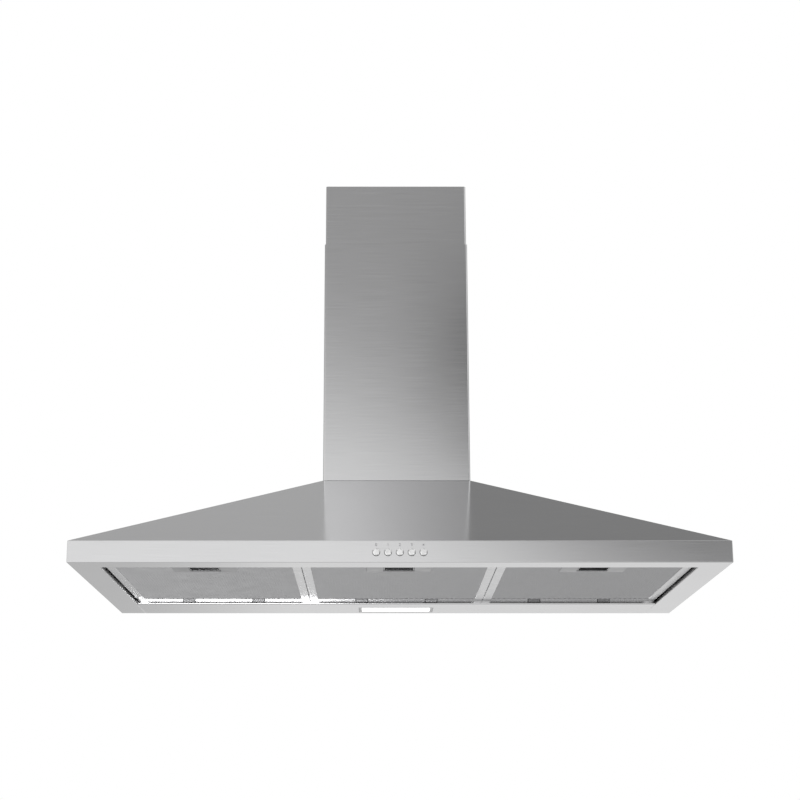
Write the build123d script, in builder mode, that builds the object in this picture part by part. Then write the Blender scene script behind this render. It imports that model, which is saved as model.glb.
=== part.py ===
from build123d import *
import math
import os

# Wall-mounted chimney range hood, 900 mm wide. Millimetres. X to the right seen from the front,
# the wall is the plane y = 0 and the hood stands out towards -Y, z = 0 is its underside.

os.makedirs("parts", exist_ok=True)

# ---------------------------------------------------------------- driving dimensions
hood_width = 900.0
hood_depth = 500.0
band_height = 30.0
canopy_height = 179.0
chimney_width = 229.0
chimney_depth = 200.0
sheet = 1.0
fit_gap = 0.3
chimney_bend = 3.0
crease_radius = 0.9

# underside flanges and the recess that holds the filters
front_flange = 41.6
side_flange = 40.0
rear_rail_depth = 103.0
lip_height = 18.0
back_sheet = 1.5
rail_screw_xs = (-300.0, -100.0, 100.0, 300.0)

# wall fixing holes in the back panel
fixing_spacing_x = 260.0
fixing_spacing_z = 75.0
fixing_low_z = 45.0
fixing_hole_radius = 4.0

# grease filters
filter_count = 3
filter_gap = 0.8
filter_end_gap = 1.0
filter_recess = 6.5
filter_thickness = 9.0
filter_rim = 12.5
filter_sheet = 0.8
filter_corner = 2.0
mesh_edge_gap = 0.3
mesh_sheet = 0.6
mesh_wave = 13.0
tab_spacing = 110.0
tab_width = 18.0
tab_thickness = 1.0
tab_reach = 6.0
tab_drop = 3.5
tab_slot_side_gap = 1.0
tab_slot_below = 1.2
tab_slot_above = 4.2

# filter latch
latch_plate_width = 92.0
latch_plate_depth = 64.0
latch_plate_thickness = 1.5
latch_plate_bevel = 1.0
cup_width = 42.5
cup_depth = 26.0
cup_height = 7.5
cup_wall = 1.2
latch_throw = 3.0
latch_pull = 6.0
latch_gap = 0.5
cup_offset = 4.6
slider_wing = 4.0
slider_wing_thickness = 1.0
tongue_width = 30.0
tongue_thickness = 2.0
tongue_tip_gap = 0.4
tongue_height = 3.2
latch_wire = 0.3
latch_coil_radius = 2.4
latch_coil_turns = 5
latch_spring_length = 10.0

# push buttons and switches
button_count = 5
button_pitch = 16.0
button_radius = 5.0
button_height = 14.0
button_proud = 4.5
button_dome = 1.6
button_travel = 3.0
button_hole_gap = 0.4
stem_radius = 3.0
stem_gap = 0.05
stem_length = 22.0
switch_width = 96.0
switch_depth = 26.0
switch_height = 20.0
switch_setback = 7.0
switch_wall = 2.0
bracket_fold = 1.2
switch_ear = 14.0

# lamp in the rear rail
lamp_width = 119.0
lamp_depth = 54.0
lamp_setback = 38.0
lens_width = 110.0
lens_depth = 46.0
lens_thickness = 2.5
lens_rise = 0.6
lens_edge = 0.6
bezel_height = 12.0
bezel_wall = 1.5
board_thickness = 1.6
led_count = 6
led_size = 5.0
led_height = 1.2
driver_width = 80.0
driver_depth = 42.0
driver_height = 26.0
driver_corner = 3.0
driver_x = -150.0
driver_y = -40.0

# chimney covers
lower_cover_length = 389.0
upper_cover_length = 370.0
upper_cover_show = 100.0
cover_gap = 0.5
cover_return = 14.0
bracket_height = 30.0
bracket_sheet = 1.5
bracket_ear = 28.0
bracket_below_top = 8.0
bracket_spacing = 150.0
bracket_hole_radius = 3.0
bracket_joggle = 3.0
vent_count = 5
vent_length = 90.0
vent_width = 3.5
vent_pitch = 11.0
vent_below_top = 70.0

# blower
blower_plate_sheet = 1.5
corner_tab = 24.0
plate_screw_inset = 13.0
window_edge = 8.0
blower_upstand = 15.0
air_window_margin = 25.0
plate_bar = 16.0
casing_x = -18.0
casing_width = 100.0
casing_wall = 2.0
axis_height = 190.0
volute_radius = 86.0
volute_step = 6.0
volute_offset = 3.0
outlet_height = 85.0
tongue_lean = 12.0
inlet_radius = 50.0
foot_reach = 14.0
boss_radius = 5.0
boss_outside = 2.5
foot_length = 20.0
foot_spacing = 128.0
foot_thickness = 3.0
impeller_radius = 60.0
impeller_width = 84.0
impeller_ring = 8.0
impeller_ring_thickness = 2.0
impeller_disc = 2.0
blade_count = 24
blade_chord = 12.0
blade_thickness = 1.5
blade_angle = 35.0
hub_radius = 12.0
hub_length = 20.0
shaft_radius = 4.0
shaft_gap = 0.05
motor_radius = 42.0
motor_length = 50.0
motor_standoff = 20.0
motor_corner = 4.0
motor_rib_count = 6
motor_rib_sink = 1.0
shaft_chamfer = 0.5
arm_count = 3
arm_width = 12.0
arm_thickness = 2.0
arm_reach = 64.0
arm_first_angle = 90.0
arm_screw_inset = 12.0
arm_ring_gap = 4.0
collar_radius = 75.0
collar_wall = 2.0
collar_length = 45.0
transition_height = 50.0
collar_flange = 3.0
flap_thickness = 1.2
flap_gap = 1.0
flap_root_gap = 0.4
flap_pin_radius = 1.5
flap_pin_gap = 0.05
flap_knuckle_radius = 3.0
flap_knuckle_length = 20.0
flap_below_rim = 38.0

# electrics on the back panel
terminal_width = 92.0
terminal_depth = 42.0
terminal_height = 56.0
terminal_x = 195.0
terminal_low_z = 30.0
terminal_wall = 2.0
gland_radius = 9.0
gland_length = 16.0
gland_bore = 4.0
gland_neck_radius = 7.2
gland_hole_radius = 4.5
capacitor_radius = 15.0
capacitor_length = 62.0
capacitor_x = -205.0
capacitor_z = 66.0
clip_width = 18.0
clip_sheet = 1.2

# screws
screw_radius = 1.6
screw_head_radius = 3.6
screw_head_height = 2.2
screw_length = 8.0
side_screw_length = 4.0
bracket_screw_head = 0.9
cover_screw_head = 1.1

# inner leads
lead_radius = 2.0
lead_bend_share = 0.45
control_exit_x = 36.0
control_rise = 8.0
control_entry = (-22.0, 58.0)
supply_exit_z = 14.0
supply_entry = (-23.0, 42.0)
lamp_exit_x = -20.0
lamp_rise = 12.0
lamp_entry_drop = 15.0
lamp_entry_z = 17.0
motor_exit = 35.0
motor_drop = 16.0
motor_entry = (-27.0, 74.0)
entry_run = 13.0

# ---------------------------------------------------------------- derived sizes
half_width = hood_width / 2
slope_rise = canopy_height - band_height
front_run = hood_depth - chimney_depth
side_run = half_width - chimney_width / 2
opening_half = half_width - side_flange
opening_front = -hood_depth + front_flange
opening_rear = -rear_rail_depth
chimney_half = chimney_width / 2
cover_inner_half = chimney_half - sheet
upper_half = cover_inner_half - cover_gap
upper_front = -chimney_depth + sheet + cover_gap
upper_back = -sheet - cover_gap
lower_cover_top = canopy_height + lower_cover_length
hood_top = lower_cover_top + upper_cover_show
plate_top = canopy_height + blower_plate_sheet

filter_width = (2 * opening_half - 2 * filter_end_gap - (filter_count - 1) * filter_gap) / filter_count
filter_front = opening_front + filter_end_gap
filter_rear = opening_rear - filter_end_gap
filter_depth = filter_rear - filter_front
filter_mid_y = (filter_front + filter_rear) / 2
filter_pitch = filter_width + filter_gap
filter_names = ("left", "middle", "right")
filter_xs = [(i - (filter_count - 1) / 2) * filter_pitch for i in range(filter_count)]
tab_z = filter_recess - tab_drop

mesh_bottom = filter_recess + filter_sheet + mesh_edge_gap
mesh_thickness = filter_thickness - 2 * (filter_sheet + mesh_edge_gap)
latch_front = filter_front + filter_rim + mesh_edge_gap
plate_mid_y = latch_front + latch_plate_depth / 2
cup_front = plate_mid_y - cup_depth / 2 + cup_offset
cup_mid_y = cup_front + cup_depth / 2
cup_rear = cup_front + cup_depth
window_depth = cup_depth + latch_throw + latch_pull + 2 * latch_gap
window_mid_y = cup_mid_y + (latch_pull - latch_throw) / 2
cup_bottom = mesh_bottom - latch_plate_thickness
mesh_cut_rear = cup_rear + latch_spring_length
tongue_z = cup_bottom + tongue_height
tongue_tip = opening_front + tongue_tip_gap

plate_screw_points = [
    (side * (chimney_half - plate_screw_inset), y)
    for side in (-1, 1)
    for y in (-chimney_depth + plate_screw_inset, -back_sheet - corner_tab / 2)
]

button_xs = [(i - (button_count - 1) / 2) * button_pitch for i in range(button_count)]
switch_front = -hood_depth + sheet + switch_setback
lamp_y = -lamp_setback
led_pitch = lens_width / led_count

casing_half = casing_width / 2
casing_left_x = casing_x - casing_half
casing_right_x = casing_x + casing_half
axis_y = -chimney_depth / 2
motor_front_x = casing_right_x + motor_standoff
outlet_z = axis_height + outlet_height
outlet_right = volute_offset + volute_radius
outlet_left = volute_offset - volute_step - tongue_lean
collar_base_z = outlet_z + collar_flange
spigot_z = collar_base_z + transition_height
collar_top_z = spigot_z + collar_length
flap_z = collar_top_z - flap_below_rim


def save(builder, label):
    """Name a finished piece and write it to its own file."""
    builder.part.label = label
    export_step(builder.part, f"parts/{label}.step")


def inner_section(z):
    """Half width and front edge of the canopy's inner skin at a height."""
    rise = (z - band_height) / slope_rise
    side_wall = sheet * math.hypot(slope_rise, side_run) / slope_rise
    front_wall = sheet * math.hypot(slope_rise, front_run) / slope_rise
    return half_width - rise * side_run - side_wall, -hood_depth + rise * front_run + front_wall


# ---------------------------------------------------------------- canopy
inner_join_z = band_height - sheet * math.tan(math.atan2(side_run, slope_rise) / 2)
with BuildPart() as canopy_shell:
    with BuildSketch(Plane.XY):
        with Locations((0, -hood_depth / 2)):
            Rectangle(hood_width, hood_depth)
    extrude(amount=band_height)
    with BuildSketch(Plane.XY.offset(band_height)):
        with Locations((0, -hood_depth / 2)):
            Rectangle(hood_width, hood_depth)
    with BuildSketch(Plane.XY.offset(canopy_height)):
        with Locations((0, -chimney_depth / 2)):
            Rectangle(chimney_width, chimney_depth)
    loft(ruled=True)
    # folds round the band and welded hips up to the chimney
    outer_edges = canopy_shell.edges().filter_by(lambda e: (e @ 0).Y < -fit_gap or (e @ 1).Y < -fit_gap)
    fillet(outer_edges.filter_by(lambda e: e.center().Z < canopy_height - sheet), radius=crease_radius)
    # hollow above the flange, open behind
    with BuildSketch(Plane.XY.offset(sheet)):
        with Locations((0, sheet - hood_depth / 2)):
            Rectangle(hood_width - 2 * sheet, hood_depth)
    extrude(amount=inner_join_z - sheet, mode=Mode.SUBTRACT)
    for height in (inner_join_z, canopy_height):
        half, front = inner_section(height)
        with BuildSketch(Plane.XY.offset(height)):
            with Locations((0, (front + sheet) / 2)):
                Rectangle(2 * half, sheet - front)
    loft(ruled=True, mode=Mode.SUBTRACT)
    # opening for the filters and the rear rail, a U open at the back
    with BuildSketch(Plane.XY):
        with Locations((0, opening_front / 2)):
            Rectangle(2 * opening_half, -opening_front)
    extrude(amount=sheet, mode=Mode.SUBTRACT)
    # lip turned up round the filter opening
    with BuildSketch(Plane.XY):
        with Locations((0, (opening_front - sheet + opening_rear) / 2)):
            Rectangle(2 * (opening_half + sheet), opening_rear - opening_front + sheet)
        with Locations((0, (opening_front + opening_rear) / 2)):
            Rectangle(2 * opening_half, opening_rear - opening_front, mode=Mode.SUBTRACT)
    extrude(amount=lip_height)
    # corner tabs under the blower plate
    with BuildSketch(Plane.XY.offset(canopy_height - sheet)):
        with Locations(*plate_screw_points):
            Rectangle(corner_tab, corner_tab)
        with Locations(*plate_screw_points):
            Circle(screw_radius, mode=Mode.SUBTRACT)
    extrude(amount=sheet)
    # strike slots for the filter latches in the front lip
    with BuildSketch(Plane.XZ.offset(-(opening_front + sheet))):
        with Locations(*[(x, tongue_z + tongue_thickness / 2) for x in filter_xs]):
            Rectangle(tongue_width + 2 * latch_gap, tongue_thickness + 2 * latch_gap)
    extrude(amount=3 * sheet, mode=Mode.SUBTRACT)
    # holes for the push buttons in the front of the band
    with BuildSketch(Plane.XZ.offset(hood_depth - 2 * sheet)):
        with Locations(*[(x, button_height) for x in button_xs]):
            Circle(button_radius + button_hole_gap)
    extrude(amount=3 * sheet, mode=Mode.SUBTRACT)
save(canopy_shell, "canopy_shell")

with BuildPart() as back_panel:
    low_half = half_width - sheet - fit_gap
    foot_half = opening_half - fit_gap
    slope_drop = sheet * math.hypot(slope_rise, side_run) / slope_rise + fit_gap
    with BuildSketch(Plane.XZ):
        with BuildLine():
            Polyline(
                (-low_half, sheet + fit_gap),
                (-foot_half, sheet + fit_gap),
                (-foot_half, 0),
                (foot_half, 0),
                (foot_half, sheet + fit_gap),
                (low_half, sheet + fit_gap),
                (low_half, band_height - sheet),
                (chimney_half - slope_drop, canopy_height - fit_gap),
                (-chimney_half + slope_drop, canopy_height - fit_gap),
                (-low_half, band_height - sheet),
                close=True,
            )
        make_face()
        with Locations((0, fixing_low_z + fixing_spacing_z / 2)):
            with GridLocations(fixing_spacing_x, fixing_spacing_z, 2, 2):
                Circle(fixing_hole_radius, mode=Mode.SUBTRACT)
    extrude(amount=back_sheet)
save(back_panel, "back_panel")

# rear rail of the underside: floor, slotted front wall and a rear wall against the back panel
rail_half = opening_half - fit_gap
rail_back = -back_sheet
rail_mid_y = (opening_rear + rail_back) / 2
rail_depth = rail_back - opening_rear
rail_screw_z = lip_height / 2
with BuildPart() as rear_rail:
    with BuildSketch(Plane.XY):
        with Locations((0, rail_mid_y)):
            Rectangle(2 * rail_half, rail_depth)
        with Locations((0, lamp_y)):
            Rectangle(lamp_width + 2 * fit_gap, lamp_depth + 2 * fit_gap, mode=Mode.SUBTRACT)
    extrude(amount=sheet)
    with BuildSketch(Plane.XY):
        with Locations((0, opening_rear + sheet / 2), (0, rail_back - sheet / 2)):
            Rectangle(2 * rail_half, sheet)
    extrude(amount=lip_height)
    with BuildSketch(Plane.XZ.offset(-(opening_rear + 2 * sheet))):
        slot_low = tab_z - tab_slot_below
        slot_high = tab_z + tab_slot_above
        for x in filter_xs:
            with Locations((x, (slot_low + slot_high) / 2)):
                with GridLocations(tab_spacing, 1, 2, 1):
                    Rectangle(tab_width + 2 * tab_slot_side_gap, slot_high - slot_low)
    extrude(amount=3 * sheet, mode=Mode.SUBTRACT)
    with BuildSketch(Plane.XZ.offset(-rail_back)):
        with Locations(*[(x, rail_screw_z) for x in rail_screw_xs]):
            Circle(screw_radius)
    extrude(amount=2 * sheet, mode=Mode.SUBTRACT)
save(rear_rail, "rear_rail")


def wall_screws(points, y_face, length):
    """Screws along +Y at (x, z) points, heads on the face y = y_face, one solid each."""
    with BuildPart() as screws:
        with BuildSketch(Plane.XZ.offset(-y_face)):
            with Locations(*points):
                Circle(screw_head_radius)
        extrude(amount=screw_head_height)
        with BuildSketch(Plane.XZ.offset(-y_face)):
            with Locations(*points):
                Circle(screw_radius)
        extrude(amount=-length)
    return screws


rail_screws = wall_screws([(x, rail_screw_z) for x in rail_screw_xs], rail_back - sheet, sheet)
save(rail_screws, "rail_screws")

# ---------------------------------------------------------------- chimney covers


def cover_outline(half, front, back):
    """Plan of a U-shaped cover whose returns are turned in along its back, drawn into the open sketch."""
    middle = (front + back) / 2
    with BuildSketch(mode=Mode.PRIVATE) as outside:
        with Locations((0, middle)):
            Rectangle(2 * half, back - front)
        fillet(outside.vertices().group_by(Axis.Y)[0], radius=chimney_bend)
    with BuildSketch(mode=Mode.PRIVATE) as inside:
        with Locations((0, middle)):
            Rectangle(2 * (half - sheet), back - front - 2 * sheet)
        fillet(inside.vertices().group_by(Axis.Y)[0], radius=chimney_bend - sheet)
    add(outside.sketch)
    add(inside.sketch, mode=Mode.SUBTRACT)
    with Locations((0, back - sheet / 2)):
        Rectangle(2 * (half - cover_return), 2 * sheet, mode=Mode.SUBTRACT)


cover_screw_y = -chimney_depth / 2
cover_screw_z = plate_top + blower_upstand / 2
with BuildPart() as lower_cover:
    with BuildSketch(Plane.XY.offset(canopy_height + fit_gap)):
        cover_outline(chimney_half, -chimney_depth, 0)
    extrude(amount=lower_cover_length - fit_gap)
    with BuildSketch(Plane.YZ.offset(-hood_width / 2)):
        with Locations((cover_screw_y, cover_screw_z)):
            Circle(screw_radius)
    extrude(amount=hood_width, mode=Mode.SUBTRACT)
save(lower_cover, "lower_cover")

upper_base = hood_top - upper_cover_length
bracket_mid_z = hood_top - bracket_below_top - bracket_height / 2
bracket_screw_y = -bracket_ear / 2
notch_height = bracket_below_top + bracket_height + bracket_below_top
with BuildPart() as upper_cover:
    with BuildSketch(Plane.XY.offset(upper_base)):
        cover_outline(upper_half, upper_front, upper_back)
    extrude(amount=upper_cover_length)
    # returns cut away behind the wall bracket
    with BuildSketch(Plane.XY.offset(hood_top - notch_height)):
        with Locations((0, upper_back - sheet / 2)):
            Rectangle(2 * (upper_half - sheet), 2 * sheet)
    extrude(amount=notch_height, mode=Mode.SUBTRACT)
    with BuildSketch(Plane.YZ.offset(-hood_width / 2)):
        with Locations((bracket_screw_y, bracket_mid_z)):
            Circle(screw_head_radius + fit_gap)
        with Locations((upper_front / 2, hood_top - vent_below_top)):
            with GridLocations(1, vent_pitch, 1, vent_count):
                SlotOverall(vent_length, vent_width)
    extrude(amount=hood_width, mode=Mode.SUBTRACT)
save(upper_cover, "upper_cover")

ear_x = upper_half - sheet
wall_strip_half = chimney_half - cover_return - 2 * cover_gap
ear_back = -bracket_joggle
step_x = wall_strip_half - bracket_sheet
with BuildPart() as ceiling_bracket:
    with BuildSketch(Plane.XZ):
        with Locations((0, bracket_mid_z)):
            Rectangle(2 * wall_strip_half, bracket_height)
            with GridLocations(bracket_spacing, 1, 2, 1):
                Circle(bracket_hole_radius, mode=Mode.SUBTRACT)
    extrude(amount=bracket_sheet)
    # each end steps forward past the covers' returns, then turns forward as an ear
    with BuildSketch(Plane.XY.offset(bracket_mid_z - bracket_height / 2)):
        for side in (-1, 1):
            with Locations((side * (wall_strip_half - bracket_sheet / 2), (ear_back - bracket_sheet) / 2)):
                Rectangle(bracket_sheet, bracket_sheet - ear_back)
            with Locations((side * (step_x + ear_x) / 2, ear_back - bracket_sheet / 2)):
                Rectangle(ear_x - step_x, bracket_sheet)
            with Locations((side * (ear_x - bracket_sheet / 2), (ear_back - bracket_ear) / 2)):
                Rectangle(bracket_sheet, bracket_ear + ear_back)
    extrude(amount=bracket_height)
    with BuildSketch(Plane.YZ.offset(-hood_width / 2)):
        with Locations((bracket_screw_y, bracket_mid_z)):
            Circle(screw_radius)
    extrude(amount=hood_width, mode=Mode.SUBTRACT)
save(ceiling_bracket, "ceiling_bracket")


def side_screws(x_face, y, z, length, head):
    """A pair of flat-headed screws pointing inwards along X, one on each side."""
    with BuildPart() as screws:
        for side in (-1, 1):
            with BuildSketch(Plane.YZ.offset(side * x_face)):
                with Locations((y, z)):
                    Circle(screw_head_radius)
            extrude(amount=side * head)
            with BuildSketch(Plane.YZ.offset(side * x_face)):
                with Locations((y, z)):
                    Circle(screw_radius)
            extrude(amount=-side * length)
    return screws


bracket_screws = side_screws(ear_x, bracket_screw_y, bracket_mid_z, side_screw_length, bracket_screw_head)
save(bracket_screws, "bracket_screws")
cover_screws = side_screws(chimney_half, cover_screw_y, cover_screw_z, side_screw_length, cover_screw_head)
save(cover_screws, "cover_screws")

# ---------------------------------------------------------------- blower plate
plate_half = cover_inner_half - fit_gap
plate_front = -chimney_depth + sheet + fit_gap
plate_back = -back_sheet
bar_left_x = casing_left_x - fit_gap - plate_bar / 2
bar_right_x = casing_right_x + fit_gap + plate_bar / 2
foot_screw_ys = (axis_y - foot_spacing / 2, axis_y + foot_spacing / 2)
air_window_length = chimney_depth - 2 * air_window_margin
with BuildPart() as blower_plate:
    with BuildSketch(Plane.XY.offset(canopy_height)) as plate_plan:
        with Locations((0, (plate_front + plate_back) / 2)):
            Rectangle(2 * plate_half, plate_back - plate_front)
        fillet(plate_plan.vertices().group_by(Axis.Y)[0], radius=chimney_bend)
        with Locations((casing_x, (plate_front + plate_back) / 2)):
            Rectangle(
                casing_width + 2 * fit_gap, plate_back - plate_front - window_edge, mode=Mode.SUBTRACT
            )
        left_edge = -plate_half + window_edge
        left_end = bar_left_x - plate_bar / 2
        with Locations(((left_edge + left_end) / 2, axis_y)):
            Rectangle(left_end - left_edge, air_window_length, mode=Mode.SUBTRACT)
        right_edge = plate_half - window_edge
        right_end = bar_right_x + plate_bar / 2
        with Locations(((right_edge + right_end) / 2, axis_y)):
            Rectangle(right_edge - right_end, air_window_length, mode=Mode.SUBTRACT)
        with Locations(*[(x, y) for x in (bar_left_x, bar_right_x) for y in foot_screw_ys]):
            Circle(screw_radius, mode=Mode.SUBTRACT)
        with Locations(*plate_screw_points):
            Circle(screw_radius, mode=Mode.SUBTRACT)
    extrude(amount=blower_plate_sheet)
    with BuildSketch(Plane.XY.offset(canopy_height)):
        for side in (-1, 1):
            with Locations((side * (plate_half - sheet / 2), axis_y)):
                Rectangle(sheet, air_window_length)
    extrude(amount=blower_plate_sheet + blower_upstand)
    with BuildSketch(Plane.YZ.offset(-hood_width / 2)):
        with Locations((cover_screw_y, cover_screw_z)):
            Circle(screw_radius)
    extrude(amount=hood_width, mode=Mode.SUBTRACT)
save(blower_plate, "blower_plate")


with BuildPart() as plate_screws:
    with BuildSketch(Plane.XY.offset(plate_top)):
        with Locations(*plate_screw_points):
            Circle(screw_head_radius)
    extrude(amount=screw_head_height)
    with BuildSketch(Plane.XY.offset(plate_top)):
        with Locations(*plate_screw_points):
            Circle(screw_radius)
    extrude(amount=-screw_length)
save(plate_screws, "plate_screws")

# ---------------------------------------------------------------- blower casing
def volute(inset):
    """Side outline of the scroll, as (y, z): three quarter arcs and the outlet, set in by a wall."""
    y0 = axis_y + volute_offset
    z0 = axis_height + volute_offset
    r1 = volute_radius - inset
    r2 = volute_radius - volute_step - inset
    r3 = volute_radius - 2 * volute_step - inset
    top = outlet_z + inset
    cutoff = (y0 - volute_step, z0 - volute_step + r3)
    with BuildSketch() as outline:
        with BuildLine():
            Line((y0 + r1, top), (y0 + r1, z0))
            CenterArc((y0, z0), r1, 0, -90)
            CenterArc((y0, z0 - volute_step), r2, -90, -90)
            CenterArc((y0 - volute_step, z0 - volute_step), r3, 180, -90)
            Polyline(cutoff, (axis_y + outlet_left + inset, top), (y0 + r1, top))
        make_face()
    return outline.sketch


volute_outside = volute(0)
volute_inside = volute(casing_wall)


def boss_point(centre_y, centre_z, radius, angle):
    """Centre of a screw boss that stands on an arc of the scroll."""
    reach = radius + boss_outside
    turn = math.radians(angle)
    return axis_y + centre_y + reach * math.cos(turn), axis_height + centre_z + reach * math.sin(turn)


boss_points = (
    boss_point(volute_offset, volute_offset, volute_radius, -45),
    boss_point(volute_offset, volute_offset - volute_step, volute_radius - volute_step, -135),
    boss_point(
        volute_offset - volute_step, volute_offset - volute_step, volute_radius - 2 * volute_step, 135
    ),
)


def casing(x_outer, x_mid):
    """Half of the scroll casing, from its outer side wall to the middle joint."""
    side = 1 if x_outer > x_mid else -1
    width = abs(x_outer - x_mid)
    with BuildPart() as half:
        with BuildSketch(Plane.YZ.offset(x_mid)):
            add(volute_outside)
            with Locations(*boss_points):
                Circle(boss_radius)
        extrude(amount=side * width)
        with BuildSketch(Plane.YZ.offset(x_mid)):
            add(volute_inside)
        extrude(amount=side * (width - casing_wall), mode=Mode.SUBTRACT)
        with BuildSketch(Plane.YZ.offset(x_mid)):
            with Locations((axis_y, axis_height)):
                Circle(inlet_radius)
            with Locations(*boss_points):
                Circle(screw_radius)
        extrude(amount=side * width, mode=Mode.SUBTRACT)
        with BuildSketch(Plane.XY.offset(plate_top)):
            with Locations(*[(x_outer + side * foot_reach / 2, y) for y in foot_screw_ys]):
                Rectangle(foot_reach, foot_length)
            with Locations(*[(bar_left_x if side < 0 else bar_right_x, y) for y in foot_screw_ys]):
                Circle(screw_radius, mode=Mode.SUBTRACT)
        extrude(amount=foot_thickness)
    return half


casing_left = casing(casing_left_x, casing_x)
save(casing_left, "casing_left")
casing_right = casing(casing_right_x, casing_x)
save(casing_right, "casing_right")

with BuildPart() as casing_screws:
    with BuildSketch(Plane.YZ.offset(casing_left_x)):
        with Locations(*boss_points):
            Circle(screw_head_radius)
    extrude(amount=-screw_head_height)
    with BuildSketch(Plane.YZ.offset(casing_left_x)):
        with Locations(*boss_points):
            Circle(screw_radius)
    extrude(amount=casing_width)
save(casing_screws, "casing_screws")

with BuildPart() as foot_screws:
    foot_points = [(x, y) for x in (bar_left_x, bar_right_x) for y in foot_screw_ys]
    with BuildSketch(Plane.XY.offset(plate_top + foot_thickness)):
        with Locations(*foot_points):
            Circle(screw_head_radius)
    extrude(amount=screw_head_height)
    with BuildSketch(Plane.XY.offset(plate_top + foot_thickness)):
        with Locations(*foot_points):
            Circle(screw_radius)
    extrude(amount=-screw_length)
save(foot_screws, "foot_screws")

# ---------------------------------------------------------------- impeller and motor
axis_plane = Plane(origin=(casing_x, axis_y, axis_height), x_dir=(0, 1, 0), z_dir=(1, 0, 0))
blade_ring_radius = impeller_radius - blade_chord / 2 * math.cos(math.radians(blade_angle))
with BuildPart() as impeller:
    with BuildSketch(axis_plane.offset(-impeller_disc / 2)):
        Circle(impeller_radius)
    extrude(amount=impeller_disc)
    with BuildSketch(axis_plane.offset(-impeller_width / 2)):
        with PolarLocations(blade_ring_radius - blade_thickness, blade_count):
            Rectangle(blade_chord, blade_thickness, rotation=blade_angle)
    extrude(amount=impeller_width)
    for start in (-impeller_width / 2, impeller_width / 2 - impeller_ring_thickness):
        with BuildSketch(axis_plane.offset(start)):
            Circle(impeller_radius)
            Circle(impeller_radius - impeller_ring, mode=Mode.SUBTRACT)
        extrude(amount=impeller_ring_thickness)
    with BuildSketch(axis_plane.offset(-hub_length / 2)):
        Circle(hub_radius)
    extrude(amount=hub_length)
    with BuildSketch(axis_plane.offset(-hub_length)):
        Circle(shaft_radius)
    extrude(amount=2 * hub_length, mode=Mode.SUBTRACT)
save(impeller, "impeller")

shaft_start = -hub_length / 2
shaft_end = motor_front_x - casing_x + motor_length / 2
with BuildPart() as motor_shaft:
    with BuildSketch(axis_plane.offset(shaft_start)):
        Circle(shaft_radius)
    extrude(amount=shaft_end - shaft_start)
    chamfer(motor_shaft.edges().sort_by(Axis.X)[-1], length=shaft_chamfer)
save(motor_shaft, "motor_shaft")

motor_offset = motor_front_x - casing_x
with BuildPart() as motor:
    with BuildSketch(axis_plane.offset(motor_offset)):
        Circle(motor_radius)
    extrude(amount=motor_length)
    fillet(motor.edges().filter_by(GeomType.CIRCLE), radius=motor_corner)
    with BuildSketch(axis_plane.offset(motor_offset + motor_length / 4)):
        with PolarLocations(motor_radius - motor_rib_sink, motor_rib_count):
            Rectangle(motor_corner, motor_corner)
    extrude(amount=motor_length / 2)
    with BuildSketch(axis_plane.offset(motor_offset)):
        Circle(shaft_radius + shaft_gap)
    extrude(amount=motor_length / 2 + fit_gap, mode=Mode.SUBTRACT)
save(motor, "motor")

arm_screw_radius = motor_radius - arm_screw_inset
with BuildPart() as motor_bracket:
    with BuildSketch(axis_plane.offset(motor_offset - arm_thickness)):
        Circle(motor_radius - motor_corner)
        with PolarLocations(arm_reach / 2, arm_count, start_angle=arm_first_angle):
            Rectangle(arm_reach, arm_width)
        Circle(hub_radius + arm_ring_gap, mode=Mode.SUBTRACT)
        with PolarLocations(arm_screw_radius, arm_count, start_angle=arm_first_angle + 180 / arm_count):
            Circle(screw_radius, mode=Mode.SUBTRACT)
    extrude(amount=arm_thickness)
    with BuildSketch(axis_plane.offset(casing_half)):
        with PolarLocations(arm_reach - arm_thickness, arm_count, start_angle=arm_first_angle):
            Rectangle(2 * arm_thickness, arm_width)
    extrude(amount=motor_standoff)
save(motor_bracket, "motor_bracket")

with BuildPart() as motor_screws:
    with BuildSketch(axis_plane.offset(motor_offset - arm_thickness)):
        with PolarLocations(arm_screw_radius, arm_count, start_angle=arm_first_angle + 180 / arm_count):
            Circle(screw_head_radius)
    extrude(amount=-screw_head_height)
    with BuildSketch(axis_plane.offset(motor_offset - arm_thickness)):
        with PolarLocations(arm_screw_radius, arm_count, start_angle=arm_first_angle + 180 / arm_count):
            Circle(screw_radius)
    extrude(amount=arm_thickness)
save(motor_screws, "motor_screws")

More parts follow.
